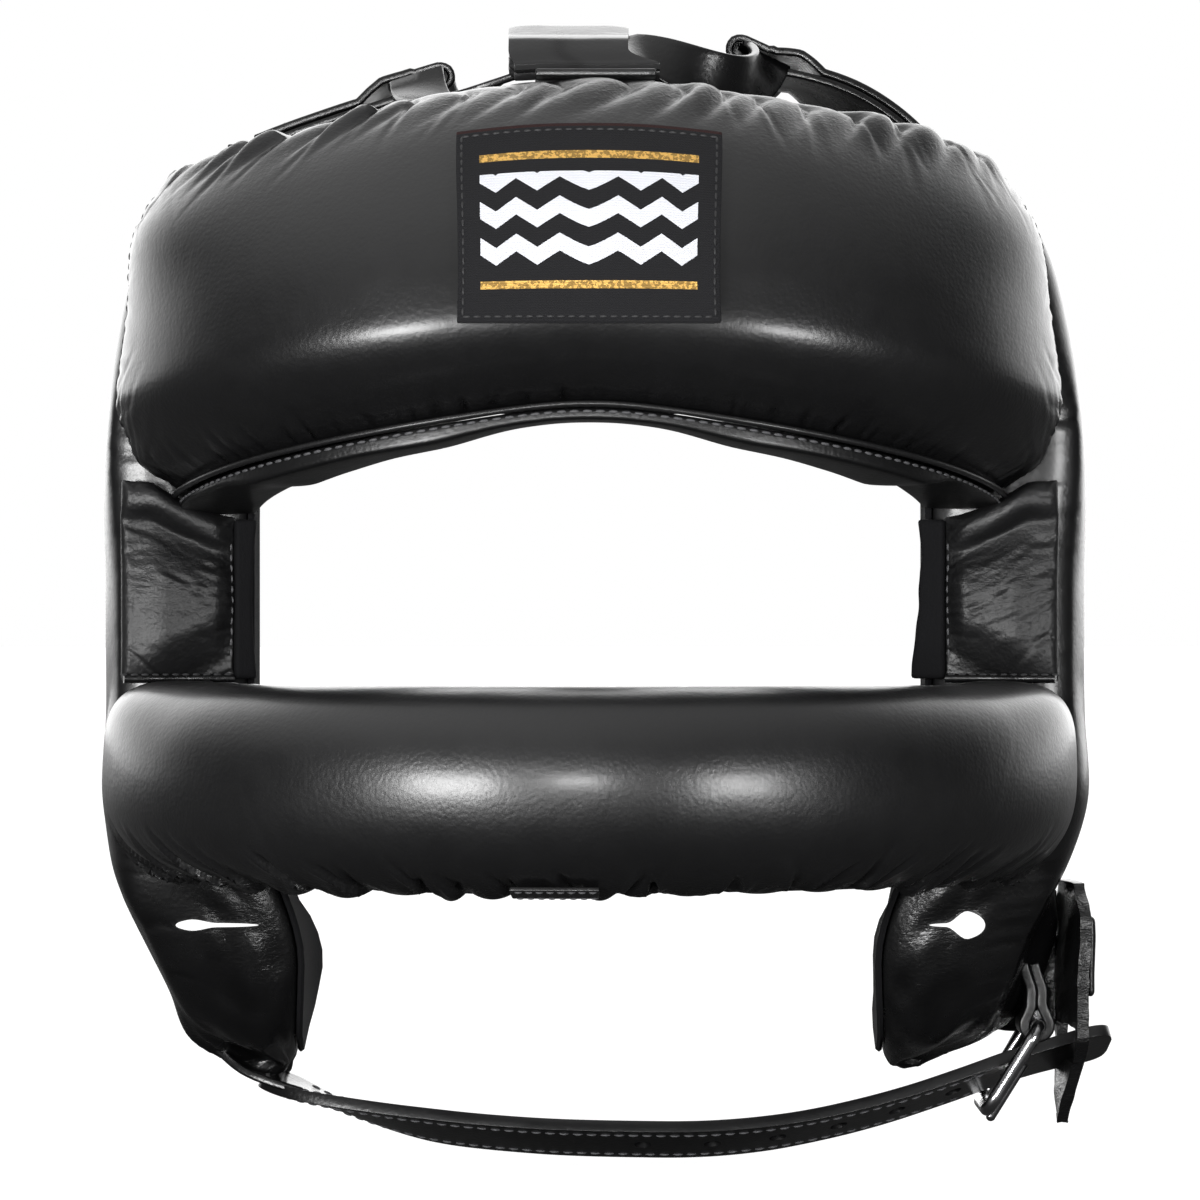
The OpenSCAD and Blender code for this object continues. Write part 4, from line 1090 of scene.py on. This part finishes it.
class HEADGEAR_OT_cheeks(bpy.types.Operator):
    """Soft cheek panels with their wrinkles and inner bindings"""
    bl_idname = "headgear.cheeks"
    bl_label = "Cheek panels"

    def execute(self, context):
        for side, sign in (("right", 1), ("left", -1)):
            self.panel(side, sign)
        return {"FINISHED"}

    def panel(self, side, sign):
        flip, near_d, far_d = np.array([sign, 1, 1]), CHEEK_NEAR, CHEEK_FAR

        def place(u, v, inset, w):
            d = near_d + inset + u * (far_d - near_d - 2 * inset)
            top = 20.2 + 13.5 * np.clip((d - 5) / 28, 0, 1) ** 1.6 - 4.5 * ease((d - 25) / 9)
            z = CHEEK_LOW - 1.2 + inset + v * (top - CHEEK_LOW + 1.2 - 2 * inset)
            wedge = -9 - 14 * (d - 5) / 28
            roll = stuffed(1 - np.abs(top - 4.2 - z) / 4.2) * (0.55 + 0.45 * ease(d / 25))
            belly = ease((z - wedge + 6) / 16) * (1 - 0.8 * ease((z - 2) / (top - 8)))
            side_on = ease((d - near_d + 1) / 7) * (0.45 + 0.55 * ease((far_d - d) / 11))
            a = SEAM_A - (0.8 + (3.2 * belly + 2.6 * roll) * side_on) * (1 - w)
            return wall(a, z, d) * flip

        nu, nv = 22, 34
        panel = closed_pad(side + "_cheek_pad", place, nu, nv, 4, 1.3)
        u, v, w = stuff(panel, nu, nv, 1.1, 1.5)
        outer = 1 - ease(w / 0.25)
        depth, high = near_d + u * (far_d - near_d), v * 46
        folds = Puckers(-6, 52, 9, 20, 63 + sign, 0.5)
        creases = folds.lines(high - 0.12 * depth, far_d - depth)
        inner = Puckers(-6, 52, 7, 12, 71 + sign, 0.3).lines(high, depth - near_d)
        belly = np.exp(-((high - 24) / 11) ** 2)
        ripples = (Noise(65 + sign)(depth / 4.5 + high / 9, high / 1.7 - depth / 9) - 0.5) * belly
        rise = outer * (0.2 * creases + 0.15 * inner + 0.55 * ripples)
        # painted shade: the lower inner wedge and the hollow below the top roll are darkened
        # through fold, as are the creases
        wedge = ease((8 - high - 14 * (depth - near_d) / 28 + 4) / 7)
        hollow_shade = 0.5 * np.exp(-((high - 32) / 4) ** 2)
        displace(panel, rise, outer * (-0.3 * creases - 0.3 * inner - 0.3 * ripples)
                 + np.maximum(wedge, hollow_shade), outer * (0.04 + 0.22 * belly))
        finish_piece(panel, "soft", "outer_leather", side + "_cheek_panel")

        def strip(u, v, inset, w):
            bow = 1.1 * np.sin(np.pi * v)
            if sign > 0:
                bow = bow - 1.2 - 2.0 * (1 - v) ** 1.5 - 1.0 * (Noise(75)(v * 9, 0 * v) - 0.5)
            d = 0.1 + bow * (1 - u) + inset * (1 - 2 * u) + u * (near_d + 0.4)
            z = CHEEK_LOW - 0.6 + inset * (1 - 2 * v) + v * (cheek_h(SEAM_A) + 0.4)
            a = SEAM_A - STRIP_A * (0.55 + 0.2 * u) * (1 - w)
            return wall(a, z, d) * flip

        binding = closed_pad(side + "_cheek_strip", strip, 5, 30, 3, 0.5)
        refine(binding, 1)
        finish_piece(binding, "lining", "trim_leather", side + "_cheek_binding", shade=0)
        v = np.linspace(0.12, 0.86, 60)
        stitches(side + "_cheek_stitches", *laid_on(panel, place(0 * v, v, 1.2, 0)), "thread",
                 (2.6, 1.7, 0.6, 0.05))
        u = np.linspace(-0.02, 1.02, 60)
        path = place(u, 0 * u, 1.0, 0)
        lip = tube(side + "_cheek_lip", path + [0, -0.6, -0.2], 1.15)
        finish_piece(lip, "hide", "outer_leather", shade=0.6)
        stitches(side + "_lip_stitches", path + [0, -1.6, 0.7], 0 * path + [0, -1, 0.5],
                 "dark_thread", (2.6, 1.8, 0.6, 0.1))


class HEADGEAR_OT_bar(bpy.types.Operator):
    """Padded face bar with its gathered lower seam"""
    bl_idname = "headgear.bar"
    bl_label = "Face bar"

    def execute(self, context):
        size = sizes()
        nu, nv, ends, radius = 30, 144, 4, 3.0

        def turn_of(piece):
            """Angle round the bar of each point, in degrees, and its share of the bar's length."""
            c, s, v = attribute_of(piece, "place").T
            return np.degrees(np.arctan2(s, c)) % 360, v

        points, places = [], []
        turn = np.arange(nu) / nu
        rows = [(0.0, k / ends) for k in range(ends, 0, -1)]
        rows += [(v, 0.0) for v in np.linspace(0, 1, nv + 1)]
        rows += [(1.0, k / ends) for k in range(1, ends + 1)]
        for v, k in rows:
            less = 0.1 + (radius * (1 - math.sqrt(max(0, 1 - k * k))) if k < 1 else radius * 1.6)
            ring = bar_point(turn, 0 * turn + v, less)
            ring[:, 1] += 0.9 * k
            points.append(ring)
            places.append(np.stack([np.cos(turn * 2 * math.pi), np.sin(turn * 2 * math.pi),
                                    0 * turn + v], -1))
        n = len(rows)
        faces = loft(n, nu)
        for j in (0, n - 1):
            middle = points[j].mean(0)
            points.append(np.array([middle]))
            places.append(np.array([[1, 0, rows[j][0]]]))
            hub = n * nu + (0 if j == 0 else 1)
            faces += [(j * nu + i, j * nu + (i + 1) % nu, hub) for i in range(nu)]
        bar = new_mesh("face_bar_pad", np.concatenate(points), faces)
        put_attribute(bar, "place", np.concatenate(places))
        face_outwards(bar)
        angle, v = turn_of(bar)
        sewn_down = (v < 0.02) | (v > 0.98) | ((angle > 120) & (angle < 292))
        inflate(bar, sewn_down, size.swell / MM)
        refine(bar, 2)
        angle, v = turn_of(bar)
        along = (2 * v - 1) * BAR_RUN
        skin = 0.385  # millimetres of skin in one degree round the bar
        up = np.where(angle < 97, angle + 83, angle - 277) * skin
        front = ease((up + 1.0) / 1.2)
        folds = Puckers(-BAR_RUN, BAR_RUN, size.gather_pitch / MM, 19, 75, 1.3)
        small = Puckers(-BAR_RUN, BAR_RUN, size.gather_pitch / MM / 2.6, 9, 77, 1.3)
        lobes = folds.lobes(along)
        creases = (folds.lines(along, np.maximum(up, 0)) * 1.5
                   + small.lines(along, np.maximum(up, 0)) * 0.25) * ease((up - 0.6) / 4)
        under = Puckers(-BAR_RUN, BAR_RUN, size.gather_pitch / MM, 7, 76).lines(
            along, np.maximum(-up, 0))
        rim = np.exp(-(np.maximum(up, 0) / 4.5) ** 2) * front
        groove = np.exp(-((up + 0.6) / 0.8) ** 2)
        top = Puckers(-BAR_RUN, BAR_RUN, 10, 9, 81).lines(along, np.abs(angle - 100) * skin)
        top_on = (0.1 + 0.9 * ease((np.abs(along) - 105) / 35)) * (angle < 120)
        slack = Puckers(-BAR_RUN, BAR_RUN, 60, 60, 91).lines(
            along / 1.6, np.clip(up, 0, 80)) * front
        broad = Noise(93)(along / 45, np.sin(np.radians(angle)) * 1.3,
                          np.cos(np.radians(angle)) * 1.3) - 0.5
        depth = size.gather_depth / MM
        rise = depth * (creases + (1.1 * lobes - 0.5) * rim + 0.2 * under * (1 - front)) \
            - 0.9 * groove + 0.5 * top * top_on + 0.12 * slack + 0.9 * broad
        rise = rise * ease(np.minimum(v, 1 - v) / 0.02)
        hang = np.exp(-(up / 6) ** 2) * (0.8 + 0.7 * lobes * front) \
            * ease(np.minimum(v, 1 - v) / 0.06)
        # painted shade: the bar's underside darkens near the seam, and fold also darkens the
        # groove, the creases and the pinches at the rim
        below = 0.7 * np.exp(-(np.maximum(up, 0) / 9) ** 2)
        displace(bar, rise, -0.3 * creases + 0.5 * groove - 0.4 * under * (1 - front)
                 - 0.4 * top * top_on + 0.3 * rim * (1 - lobes) + below,
                 0.45 * np.exp(-(up / 9) ** 2), np.stack([0 * v, 0 * v, -hang], -1))
        finish_piece(bar, "hide", "outer_leather", "face_bar_cover", "face_bar_foam")

        def sewn(u, v):
            return bar_point((287 + 12 * v) / 360, 0.447 + 0.06 * u, 0 * u - 1.3) \
                - np.stack([0 * u, 0 * u, 0.5 - 0.3 * v], -1)

        patch = ribbon("bar_seam_overlap", 14, 10, sewn, 1.2, 0.4)
        finish_piece(patch, "trim", "trim_leather", "bar_seam_patch", shade=0)
        u = np.linspace(0.04, 0.96, 40)
        for name, v in (("low", 0.15), ("high", 0.85)):
            path = sewn(u, 0 * u + v)
            stitches("bar_overlap_stitches_" + name, path, path - bar_mid(0.447 + 0.06 * u),
                     "thread", (2.4, 1.7, 0.6, 0.6))
        wear("face_bar_rod", "rod")
        return {"FINISHED"}


def ring_mid(t):
    c, s = np.cos(np.radians(t)), np.sin(np.radians(t))
    return np.stack([RING_W * signed_pow(c, 2 / RING_SQUARE),
                     RING_L * signed_pow(s, 2 / RING_SQUARE) - RING_FRONT,
                     RING_Z + 3 * c - 2.5 * s], -1)


def ring_slope(t):
    c, s = np.cos(np.radians(t)), np.sin(np.radians(t))
    return np.radians(21.5 + 3.5 * c + 17 * np.maximum(s, 0) ** 2)


def ring_frame(t):
    """Outward and upward directions of the crown ring at turn t."""
    c, s = np.cos(np.radians(t)), np.sin(np.radians(t))
    r = unit(np.stack([RING_L * signed_pow(c, 2 - 2 / RING_SQUARE),
                       RING_W * signed_pow(s, 2 - 2 / RING_SQUARE), 0 * c], -1))
    k = ring_slope(t)[..., None]
    up = np.array([0, 0, 1.0])
    return r * np.cos(k) - up * np.sin(k), r * np.sin(k) + up * np.cos(k)


class HEADGEAR_OT_crown(bpy.types.Operator):
    """Crown strap and the four folded tabs that hold it"""
    bl_idname = "headgear.crown"
    bl_label = "Crown strap and tabs"

    def execute(self, context):
        def strap(u, v):
            t = 188 + 352 * v
            out, up = ring_frame(t)
            lift = 0.35 * (Noise(101)(v * 20, 0 * v) - 0.5)
            left, right = (np.sin(np.pi * np.clip((t - start) / wide, 0, 1))
                           for start, wide in ((197, 72), (273, 78)))
            turn = np.radians(76 * right ** 0.5 - 20 * left)[..., None]
            out, up = out * np.cos(turn) - up * np.sin(turn), up * np.cos(turn) + out * np.sin(turn)
            sag = np.stack([0 * t, 0 * t, -10.0 * left ** 0.6 - 9.2 * right ** 0.7], -1)
            return ring_mid(t) + out * ((u - 0.5) * (CROWN_W - 0.4))[..., None] \
                + up * lift[..., None] + sag

        ring = ribbon("crown_ring_strap", 8, 200, strap, CROWN_T - 0.1, 0.5)
        finish_piece(ring, "strap", "trim_leather", "crown_strap", shade=0.7)
        fore_in = FRONT * float(cavity_share(np.array(123.0))) + 1.5
        side_in = HALF_W * float(cavity_share(np.array(110.0))) + 1.5
        rise = (CROWN_T + TUNNEL_ROOM) / 2 + HIDE_T + 0.2
        side_out = side_in + 20.5
        self.tab("front", -90, 123 + LAYER_GAP + rise, 29, (fore_in, fore_in + 12.5, 123), 0.8)
        self.tab("right", 0, 110 + LAYER_GAP + rise, 44, (side_in, side_out, 110), 4.5)
        self.tab("left", 180, 110 + LAYER_GAP + rise, 44, (side_in, side_out, 110), 0.5)
        self.tab("rear", 90, 84 + rise, 29, None, 0.0)
        return {"FINISHED"}

    def tab(self, name, turn, foot_z, width, foot, arch):
        """A leather strip folded over the crown strap, its two layers sewn together below it."""
        t = np.array(float(turn))
        slope = float(ring_slope(t))
        middle = ring_mid(t)
        drop = (middle[2] - foot_z) / math.sin(slope)
        half = (CROWN_T + TUNNEL_ROOM + HIDE_T) / 2
        reach = CROWN_W / 2 + TUNNEL_ROOM + HIDE_T / 2
        tunnel = CROWN_W / 2 + TUNNEL_ROOM
        low = -half
        profile = [(drop + 1.5, low - 0.1), (drop - 3, low), (tunnel + 4, low), (0, low)]
        profile += [(-reach + half - half * math.sin(k * math.pi / 6),
                     -half * math.cos(k * math.pi / 6)) for k in range(7)]
        profile += [(0, half), (tunnel - 1, half), (tunnel + 2.5, half * 0.45),
                    (tunnel + 6, low + HIDE_T + 0.05), (drop - 3, low + HIDE_T + 0.05),
                    (drop + 1.5, low + HIDE_T)]
        path = np.array(profile)
        run = lengths(path)
        c, s = math.cos(math.radians(turn)), math.sin(math.radians(turn))
        noise = Noise(110 + turn % 97)

        def place(u, v):
            x, z = sample(path, run[-1] * v, run).T
            flare = ease((x - (10 if name == "front" else 4)) / (drop - 9))
            y = (u - 0.5) * (width - 0.6) * (1 + 0.03 * flare)
            if name == "front":
                y = y - 5.0 + flare ** 1.5 * (2 + 5 * u)
            z = z + 0.5 * (noise(u * 5, x / 14) - 0.5) - 0.6 * np.abs(2 * u - 1) ** 6 * (x < 0)
            hump = np.sin(np.pi * np.clip((x - tunnel) / (drop - tunnel), 0, 1))
            z = z + arch * np.sin(np.pi * np.clip((x - 2) / (drop - 2), 0, 1)) ** 0.8
            z = z - (6.5 * u * hump if name == "right" else 0)
            far = x * math.cos(slope) + z * math.sin(slope)
            high = -x * math.sin(slope) + z * math.cos(slope)
            return np.stack([middle[0] + far * c - y * s, middle[1] + far * s + y * c,
                             middle[2] + high], -1)

        strip = ribbon(name + "_crown_fold", 20, 110, place, HIDE_T - 0.1, 0.5)
        smooth_leather(strip, 0.6)
        if name == "front":
            u = attribute_of(strip, "place")[:, 0]
            put_attribute(strip, "fold", 0.8 * np.exp(-((u - 0.42) / 0.07) ** 2))
        finish_piece(strip, "strap", "trim_leather", name + "_crown_tab")
        if foot:
            near, far, z = foot

            def flat(u, v):
                x = near + v * (far - near)
                y = (u - 0.5) * (width - 0.6) + (1.5 if name == "front" else 0)
                h = z + LAYER_GAP + HIDE_T / 2 + 0 * u
                return np.stack([x * c - y * s, x * s + y * c, h], -1)

            sole = ribbon(name + "_crown_foot", 16, 8, flat, HIDE_T - 0.1, 0.5)
        else:
            sole = ribbon(name + "_crown_foot", 16, 12, lambda u, v: wall(
                172 + 16 * u, 66 + 21 * v, 2 - LAYER_GAP - HIDE_T / 2), HIDE_T - 0.1, 0.5)
        finish_piece(sole, "strap", "trim_leather", shade=0)
        u = np.linspace(0.06, 0.94, 50)
        up = unit(np.array([math.sin(slope) * c, math.sin(slope) * s, math.cos(slope)]))
        for k, back in enumerate((3.0, 6.0)):
            path_up = place(u, 0 * u + (run[-1] - back - 2.0) / run[-1])
            stitches(f"{name}_crown_stitches_{k}", path_up + up * (HIDE_T / 2 - 0.1),
                     np.tile(up, (len(u), 1)), "dark_thread", (3.0, 2.1, 0.7, 0.05))


class HEADGEAR_OT_straps(bpy.types.Operator):
    """Rear strap and nape strap, each in two halves with hook and loop tape"""
    bl_idname = "headgear.straps"
    bl_label = "Rear and nape straps"

    def execute(self, context):
        for name, z0, z1, edge, free in (("rear", 50, 84, 140.35, "rear_strap_end"),
                                         ("nape", -66, -34, 132.35, "nape_strap_end")):
            for side, a0, a1, depth, body in (("left", 166, 360 - edge, 2 + 1.35, "headgear"),
                                              ("right", edge, 194, 7.3 + 1.65, free)):
                self.band(f"{side}_{name}_band", a0, a1, z0, z1, depth, 2.7, body,
                          f"{side}_{name}_strap")
            for kind, depth, look, body in (("loop", 5.5, "pile", "headgear"),
                                            ("hook", 6.8, "hooks", free)):
                self.tape(f"{name}_{kind}_patch", z0, z1, depth, look, body,
                          f"{name}_{kind}_tape")
        return {"FINISHED"}

    def band(self, name, a0, a1, z0, z1, depth, thick, body, node):
        noise = Noise(int(abs(a0) + depth * 10))

        def place(u, v):
            corner = 1.2 * (1 - stuffed(np.minimum(u, 1 - u) * 40)) * (2 * v - 1)
            a = a0 + u * (a1 - a0)
            return wall(a, z0 + 0.2 + v * (z1 - z0 - 0.4) - corner,
                        depth + 0.2 * (noise(u * 7, v * 3) - 0.5))

        strip = ribbon(name, 90, 14, place, thick, 0.6)
        finish_piece(strip, "strap", "outer_leather", node, body=body, shade=0)
        u = np.linspace(0.02, 0.98, 120)
        for side, v in (("low", 0.09), ("high", 0.91)):
            path = place(u, 0 * u + v)
            out = unit(path * [1, 1, 0])
            stitches(f"{name}_stitches_{side}", path + out * (thick / 2 - 0.1), out,
                     "dark_thread", (3.2, 2.3, 0.75, 0.05), body, "outer_leather")

    def tape(self, name, z0, z1, depth, look, body, node):
        def place(u, v):
            return wall(168 + 24 * u, z0 + 3 + v * (z1 - z0 - 6), depth)

        finish_piece(ribbon(name, 40, 12, place, 0.95, 0.2), look, "hook_loop", node, body=body)


def smooth_route(points, steps):
    """A smooth curve through given points."""
    route = []
    for i in range(len(points) - 1):
        a, b = points[max(i - 1, 0)], points[i]
        c, d = points[i + 1], points[min(i + 2, len(points) - 1)]
        for t in np.arange(steps) / steps:
            route.append(0.5 * (2 * b + t * (c - a) + t * t * (2 * a - 5 * b + 4 * c - d)
                                + t ** 3 * (3 * b - 3 * c + d - a)))
    return np.array(route + [points[-1]])


def route_frame(route):
    """Directions across the chin strap and out of its face."""
    along = unit(np.gradient(route, axis=0))
    side = unit(np.cross([0, 0, 1.0], along))
    step = np.arange(len(route)) / (len(route) - 1) * CHIN_STEPS
    tilt = np.radians(CHIN_TILT * ease(step / 7))[:, None]
    across = unit(side * np.cos(tilt) - np.array([0, 0, 1.0]) * np.sin(tilt))
    return across, unit(np.cross(along, across))


class HEADGEAR_OT_chin(bpy.types.Operator):
    """Chin strap with its punched holes and stitch rows"""
    bl_idname = "headgear.chin"
    bl_label = "Chin strap and chape"

    def execute(self, context):
        route = smooth_route(CHIN_POINTS, 12)
        across, face = route_frame(route)
        step = np.linspace(0, CHIN_STEPS, len(route))
        half = CHIN_W / 2 * np.minimum(0.5 + 0.5 * stuffed(step / 4),
                                       0.4 + 0.6 * stuffed((CHIN_STEPS - step) / 2)) - 0.1

        def at(values, v):
            return sample(values, v * (len(route) - 1))

        def place(u, v):
            h = np.interp(v * CHIN_STEPS, step, half)
            return at(route, v) + at(across, v) * ((2 * u - 1) * h)[..., None]

        strap = ribbon("chin_strap_leather", 16, 180, place, CHIN_T - 0.1, 0.6)
        holes = [(BUCKLE_POINT - k) / 12 for k in range(1, 7)] + [BUCKLE_POINT / 12 - 0.004]
        for hole in holes:
            v = np.array([hole])
            punch = primitive(bpy.ops.mesh.primitive_cylinder_add, vertices=28,
                              radius=2.2 * MM, depth=12 * MM)
            turn = Vector((0, 0, 1)).rotation_difference(Vector(at(face, v)[0]))
            punch.data.transform(turn.to_matrix().to_4x4())
            punch.data.transform(Matrix.Translation(Vector(at(route, v)[0] * MM)))
            cut(strap, punch)
        smooth_leather(strap)
        # painted shade: the strap is darkened throughout, and most towards its root under the left
        # jaw lobe
        put_attribute(strap, "fold", 0.3 + 0.65 * ease((-50 - points_of(strap)[:, 0]) / 16))
        finish_piece(strap, "strap", "trim_leather", "chin_strap", body="chin_strap")
        v = np.linspace(0.05, 0.78, 260)
        for side, u in (("front", 0.14), ("rear", 0.86)):
            path = place(0 * v + u, v)
            for under, out in (("", at(face, v)), ("under_", -at(face, v))):
                stitches("chin_stitches_" + under + side, path + out * (CHIN_T / 2 - 0.1), out,
                         "thread", (3.4, 2.4, 0.7, 0.05), "chin_strap")
        return {"FINISHED"}


class HEADGEAR_OT_buckle(bpy.types.Operator):
    """Metal finish of the buckle, its folded leather chape, and the buckle guard"""
    bl_idname = "headgear.buckle"
    bl_label = "Buckle and guard"

    def execute(self, context):
        for node in ("buckle_frame", "buckle_prong"):
            wear(node, "steel")
        self.chape()
        self.guard()
        return {"FINISHED"}

    def chape(self):
        """A strip of leather folded round the buckle's upper bar and sewn to itself above it."""
        turn = np.radians(np.linspace(145, 395, 13))
        path = np.array([(-1.35, CHAPE_UP), (-1.35, 9.0), (-1.35, 4.6)]
                        + [(3.15 * math.cos(t), 3.15 * math.sin(t)) for t in turn]
                        + [(1.35, 4.6), (1.35, 9.0), (1.35, CHAPE_UP)])
        run = lengths(path)
        noise = Noise(131)

        def place(u, v):
            x, z = sample(path, run[-1] * v, run).T
            lean = -2.2 * ease((z - 7) / 10)
            wide = 14.6 + 0.6 * noise(v * 7, 0 * v)
            return np.stack([BUCKLE_TOP[0] + x + lean + 0.3 * (noise(u * 4, z / 3) - 0.5),
                             BUCKLE_TOP[1] + (u - 0.5) * wide, BUCKLE_TOP[2] + z], -1)

        fold = ribbon("buckle_chape_fold", 12, 60, place, 2.65, 0.6)
        finish_piece(fold, "trim", "trim_leather", "buckle_chape", body="chin_strap", shade=0.8)

    def guard(self):
        """The flap with its point, its wrinkles and the patch sewn on its outside."""
        tilt = math.radians(GUARD_TURN)

        def settle(x, y, z):
            """A point x outwards, y back and z up from the flap's sewn top edge."""
            return np.stack([GUARD_TOP[0] + x * math.cos(tilt) - y * math.sin(tilt),
                             GUARD_TOP[1] + x * math.sin(tilt) + y * math.cos(tilt),
                             GUARD_TOP[2] + z], -1)

        noise = Noise(141)

        def flap(u, v):
            z = -60 * v
            point = np.clip((v - 38 / 60) / (1 - 38 / 60), 0, 1)
            half = 19 * (0.5 + 0.5 * ease(v / 0.14)) * (1 - point) + 0.8 * point \
                + 0.5 * (noise(v * 9, 7.3) - 0.5)
            y = 19 + (2 * u - 1) * half
            x = 1.5 - 2.4 * ease((v - 0.66) / 0.34) + 1.2 * (noise(v * 5, u * 2.2) - 0.5)
            return settle(x, y, z)

        piece = ribbon("buckle_guard_flap", 30, 60, flap, 2.8, 0.7)
        cutter = primitive(bpy.ops.mesh.primitive_cube_add, size=1)
        corner = points_of(cutter) * MM
        set_points(cutter, settle(2 + corner[:, 0] * 20, GUARD_SLOT[0] + corner[:, 1] * 29,
                                  GUARD_SLOT[1] + corner[:, 2] * 8.6))
        face_outwards(cutter)
        cut(piece, cutter)
        at = points_of(piece)
        folds = noise(at[:, 2] / 2.6 + at[:, 1] / 9, at[:, 1] / 7)
        # painted shade: the flap is darkened throughout and most in its folds
        displace(piece, 0.5 * (folds - 0.5), 0.5 + 0.4 * folds, 0.6)
        finish_piece(piece, "trim", "trim_leather", "buckle_guard", body="guard")

        def badge(u, v, inset, w):
            y = 6 + inset + u * (26 - 2 * inset)
            z = -28 + inset + v * (20 - 2 * inset)
            bulge = 0.5 * (noise(v * 4, 3 + u * 3) - 0.5)
            return settle(3.25 + (2.3 + bulge) * (1 - w), y, z)

        raised = closed_pad("guard_badge", badge, 14, 12, 3, 0.8)
        refine(raised, 1)
        finish_piece(raised, "trim", "trim_leather", "guard_patch", body="guard", shade=0.5)


class HEADGEAR_OT_stage(bpy.types.Operator):
    """Floor, white surroundings, lamps and the camera"""
    bl_idname = "headgear.stage"
    bl_label = "Stage"

    def execute(self, context):
        scene = context.scene
        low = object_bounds()[0][2]
        floor = primitive(bpy.ops.mesh.primitive_plane_add, size=30, location=(0, 0, low - 0.0005))
        floor.name = "floor"
        bpy.ops.object.transform_apply(location=True, rotation=False, scale=False)
        look = Look("pale_floor")
        plain = look.node("BsdfPrincipled", None, {"Base Color": (0.08, 0.08, 0.08, 1),
                                                   "Roughness": 0.9})
        pale = look.node("BsdfPrincipled", None, {
            "Base Color": (0.25, 0.25, 0.25, 1), "Roughness": 0.9,
            "Emission Color": (1, 1, 1, 1), "Emission Strength": 0.93})
        mix = look.mix_shader(look.in_view(look.node("LightPath")), plain, pale)
        look.tree.links.new(mix.outputs[0], look.end.inputs[0])
        floor.data.materials.append(look.material)
        floor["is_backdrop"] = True

        sky = Look("surroundings", "worlds")
        scene.world = sky.material
        seen = sky.node("LightPath")
        x, y, z = sky.parts(sky.node("TexCoord").outputs["Generated"])
        behind = sky.step(y, 0.22, 1.0)
        above = sky.step(z, 0.2, 1.0) * (0.7 - 0.45 * x)
        bright = (0.022 + behind + above * 0.38 - 0.01 * x).kept()
        black, white, glare = (sky.node("Background", None, {"Color": (1, 1, 1, 1), "Strength": k})
                               for k in (0.0, 1.0, 2.8))
        mirrored = sky.mix_shader(bright, black, glare)
        even = sky.mix_shader((0.08 + 0.36 * sky.step(z, -0.5, 0.7)).kept(), black, white)
        lit = sky.mix_shader(seen.outputs["Is Glossy Ray"], even, mirrored)
        mix = sky.mix_shader(sky.in_view(seen), lit, white)
        sky.tree.links.new(mix.outputs[0], sky.end.inputs[0])

        away = 1.35
        for name, azimuth, rise, wide, tall, power in (
                ("left_softbox", -30, -0.08, 0.4, 0.44, 21),
                ("right_softbox", 32, -0.06, 0.3, 0.4, 9.8),
                ("centre_softbox", -3, 0.08, 0.24, 0.12, 4.6)):
            lamp = primitive(bpy.ops.object.light_add, type="AREA")
            lamp.name = name
            lamp.data.shape = "RECTANGLE"
            lamp.data.size, lamp.data.size_y, lamp.data.energy = wide, tall, power
            a = math.radians(azimuth)
            lamp.location = (away * math.sin(a), -away * math.cos(a), rise)
            lamp.rotation_euler = (-Vector(lamp.location)).to_track_quat("-Z", "Y").to_euler()

        camera = primitive(bpy.ops.object.camera_add, location=(0.0025, -CAMERA_AWAY * MM, 0),
                           rotation=(math.pi / 2, 0, 0))
        camera.data.lens = 168
        camera.data.sensor_width = 36
        scene.camera = camera
        scene.view_settings.view_transform = "Standard"
        return {"FINISHED"}


class HEADGEAR_PT_panel(bpy.types.Panel):
    """The headgear's sizes, colours and steps"""
    bl_idname = "HEADGEAR_PT_panel"
    bl_label = "Headgear"
    bl_space_type = "VIEW_3D"
    bl_region_type = "UI"
    bl_category = "Headgear"

    def draw(self, context):
        for group in (context.scene.headgear_sizes, context.scene.headgear_colours):
            box = self.layout.box()
            for key in group.__annotations__:
                box.prop(group, key)
        for step in STEPS:
            self.layout.operator(step.bl_idname)


STEPS = (HEADGEAR_OT_forehead, HEADGEAR_OT_patch, HEADGEAR_OT_sides, HEADGEAR_OT_cheeks,
         HEADGEAR_OT_bar, HEADGEAR_OT_crown, HEADGEAR_OT_straps, HEADGEAR_OT_chin,
         HEADGEAR_OT_buckle, HEADGEAR_OT_stage)
CLASSES = (HeadgearSizes, HeadgearColours) + STEPS + (HEADGEAR_PT_panel,)


def register():
    for item in CLASSES:
        bpy.utils.register_class(item)
    bpy.types.Scene.headgear_sizes = PointerProperty(type=HeadgearSizes)
    bpy.types.Scene.headgear_colours = PointerProperty(type=HeadgearColours)


def unregister():
    del bpy.types.Scene.headgear_sizes
    del bpy.types.Scene.headgear_colours
    for item in reversed(CLASSES):
        bpy.utils.unregister_class(item)


def main():
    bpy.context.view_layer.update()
    register()
    for step in STEPS:
        group, name = step.bl_idname.split(".")
        getattr(getattr(bpy.ops, group), name)()


if __name__ == "__main__":
    main()
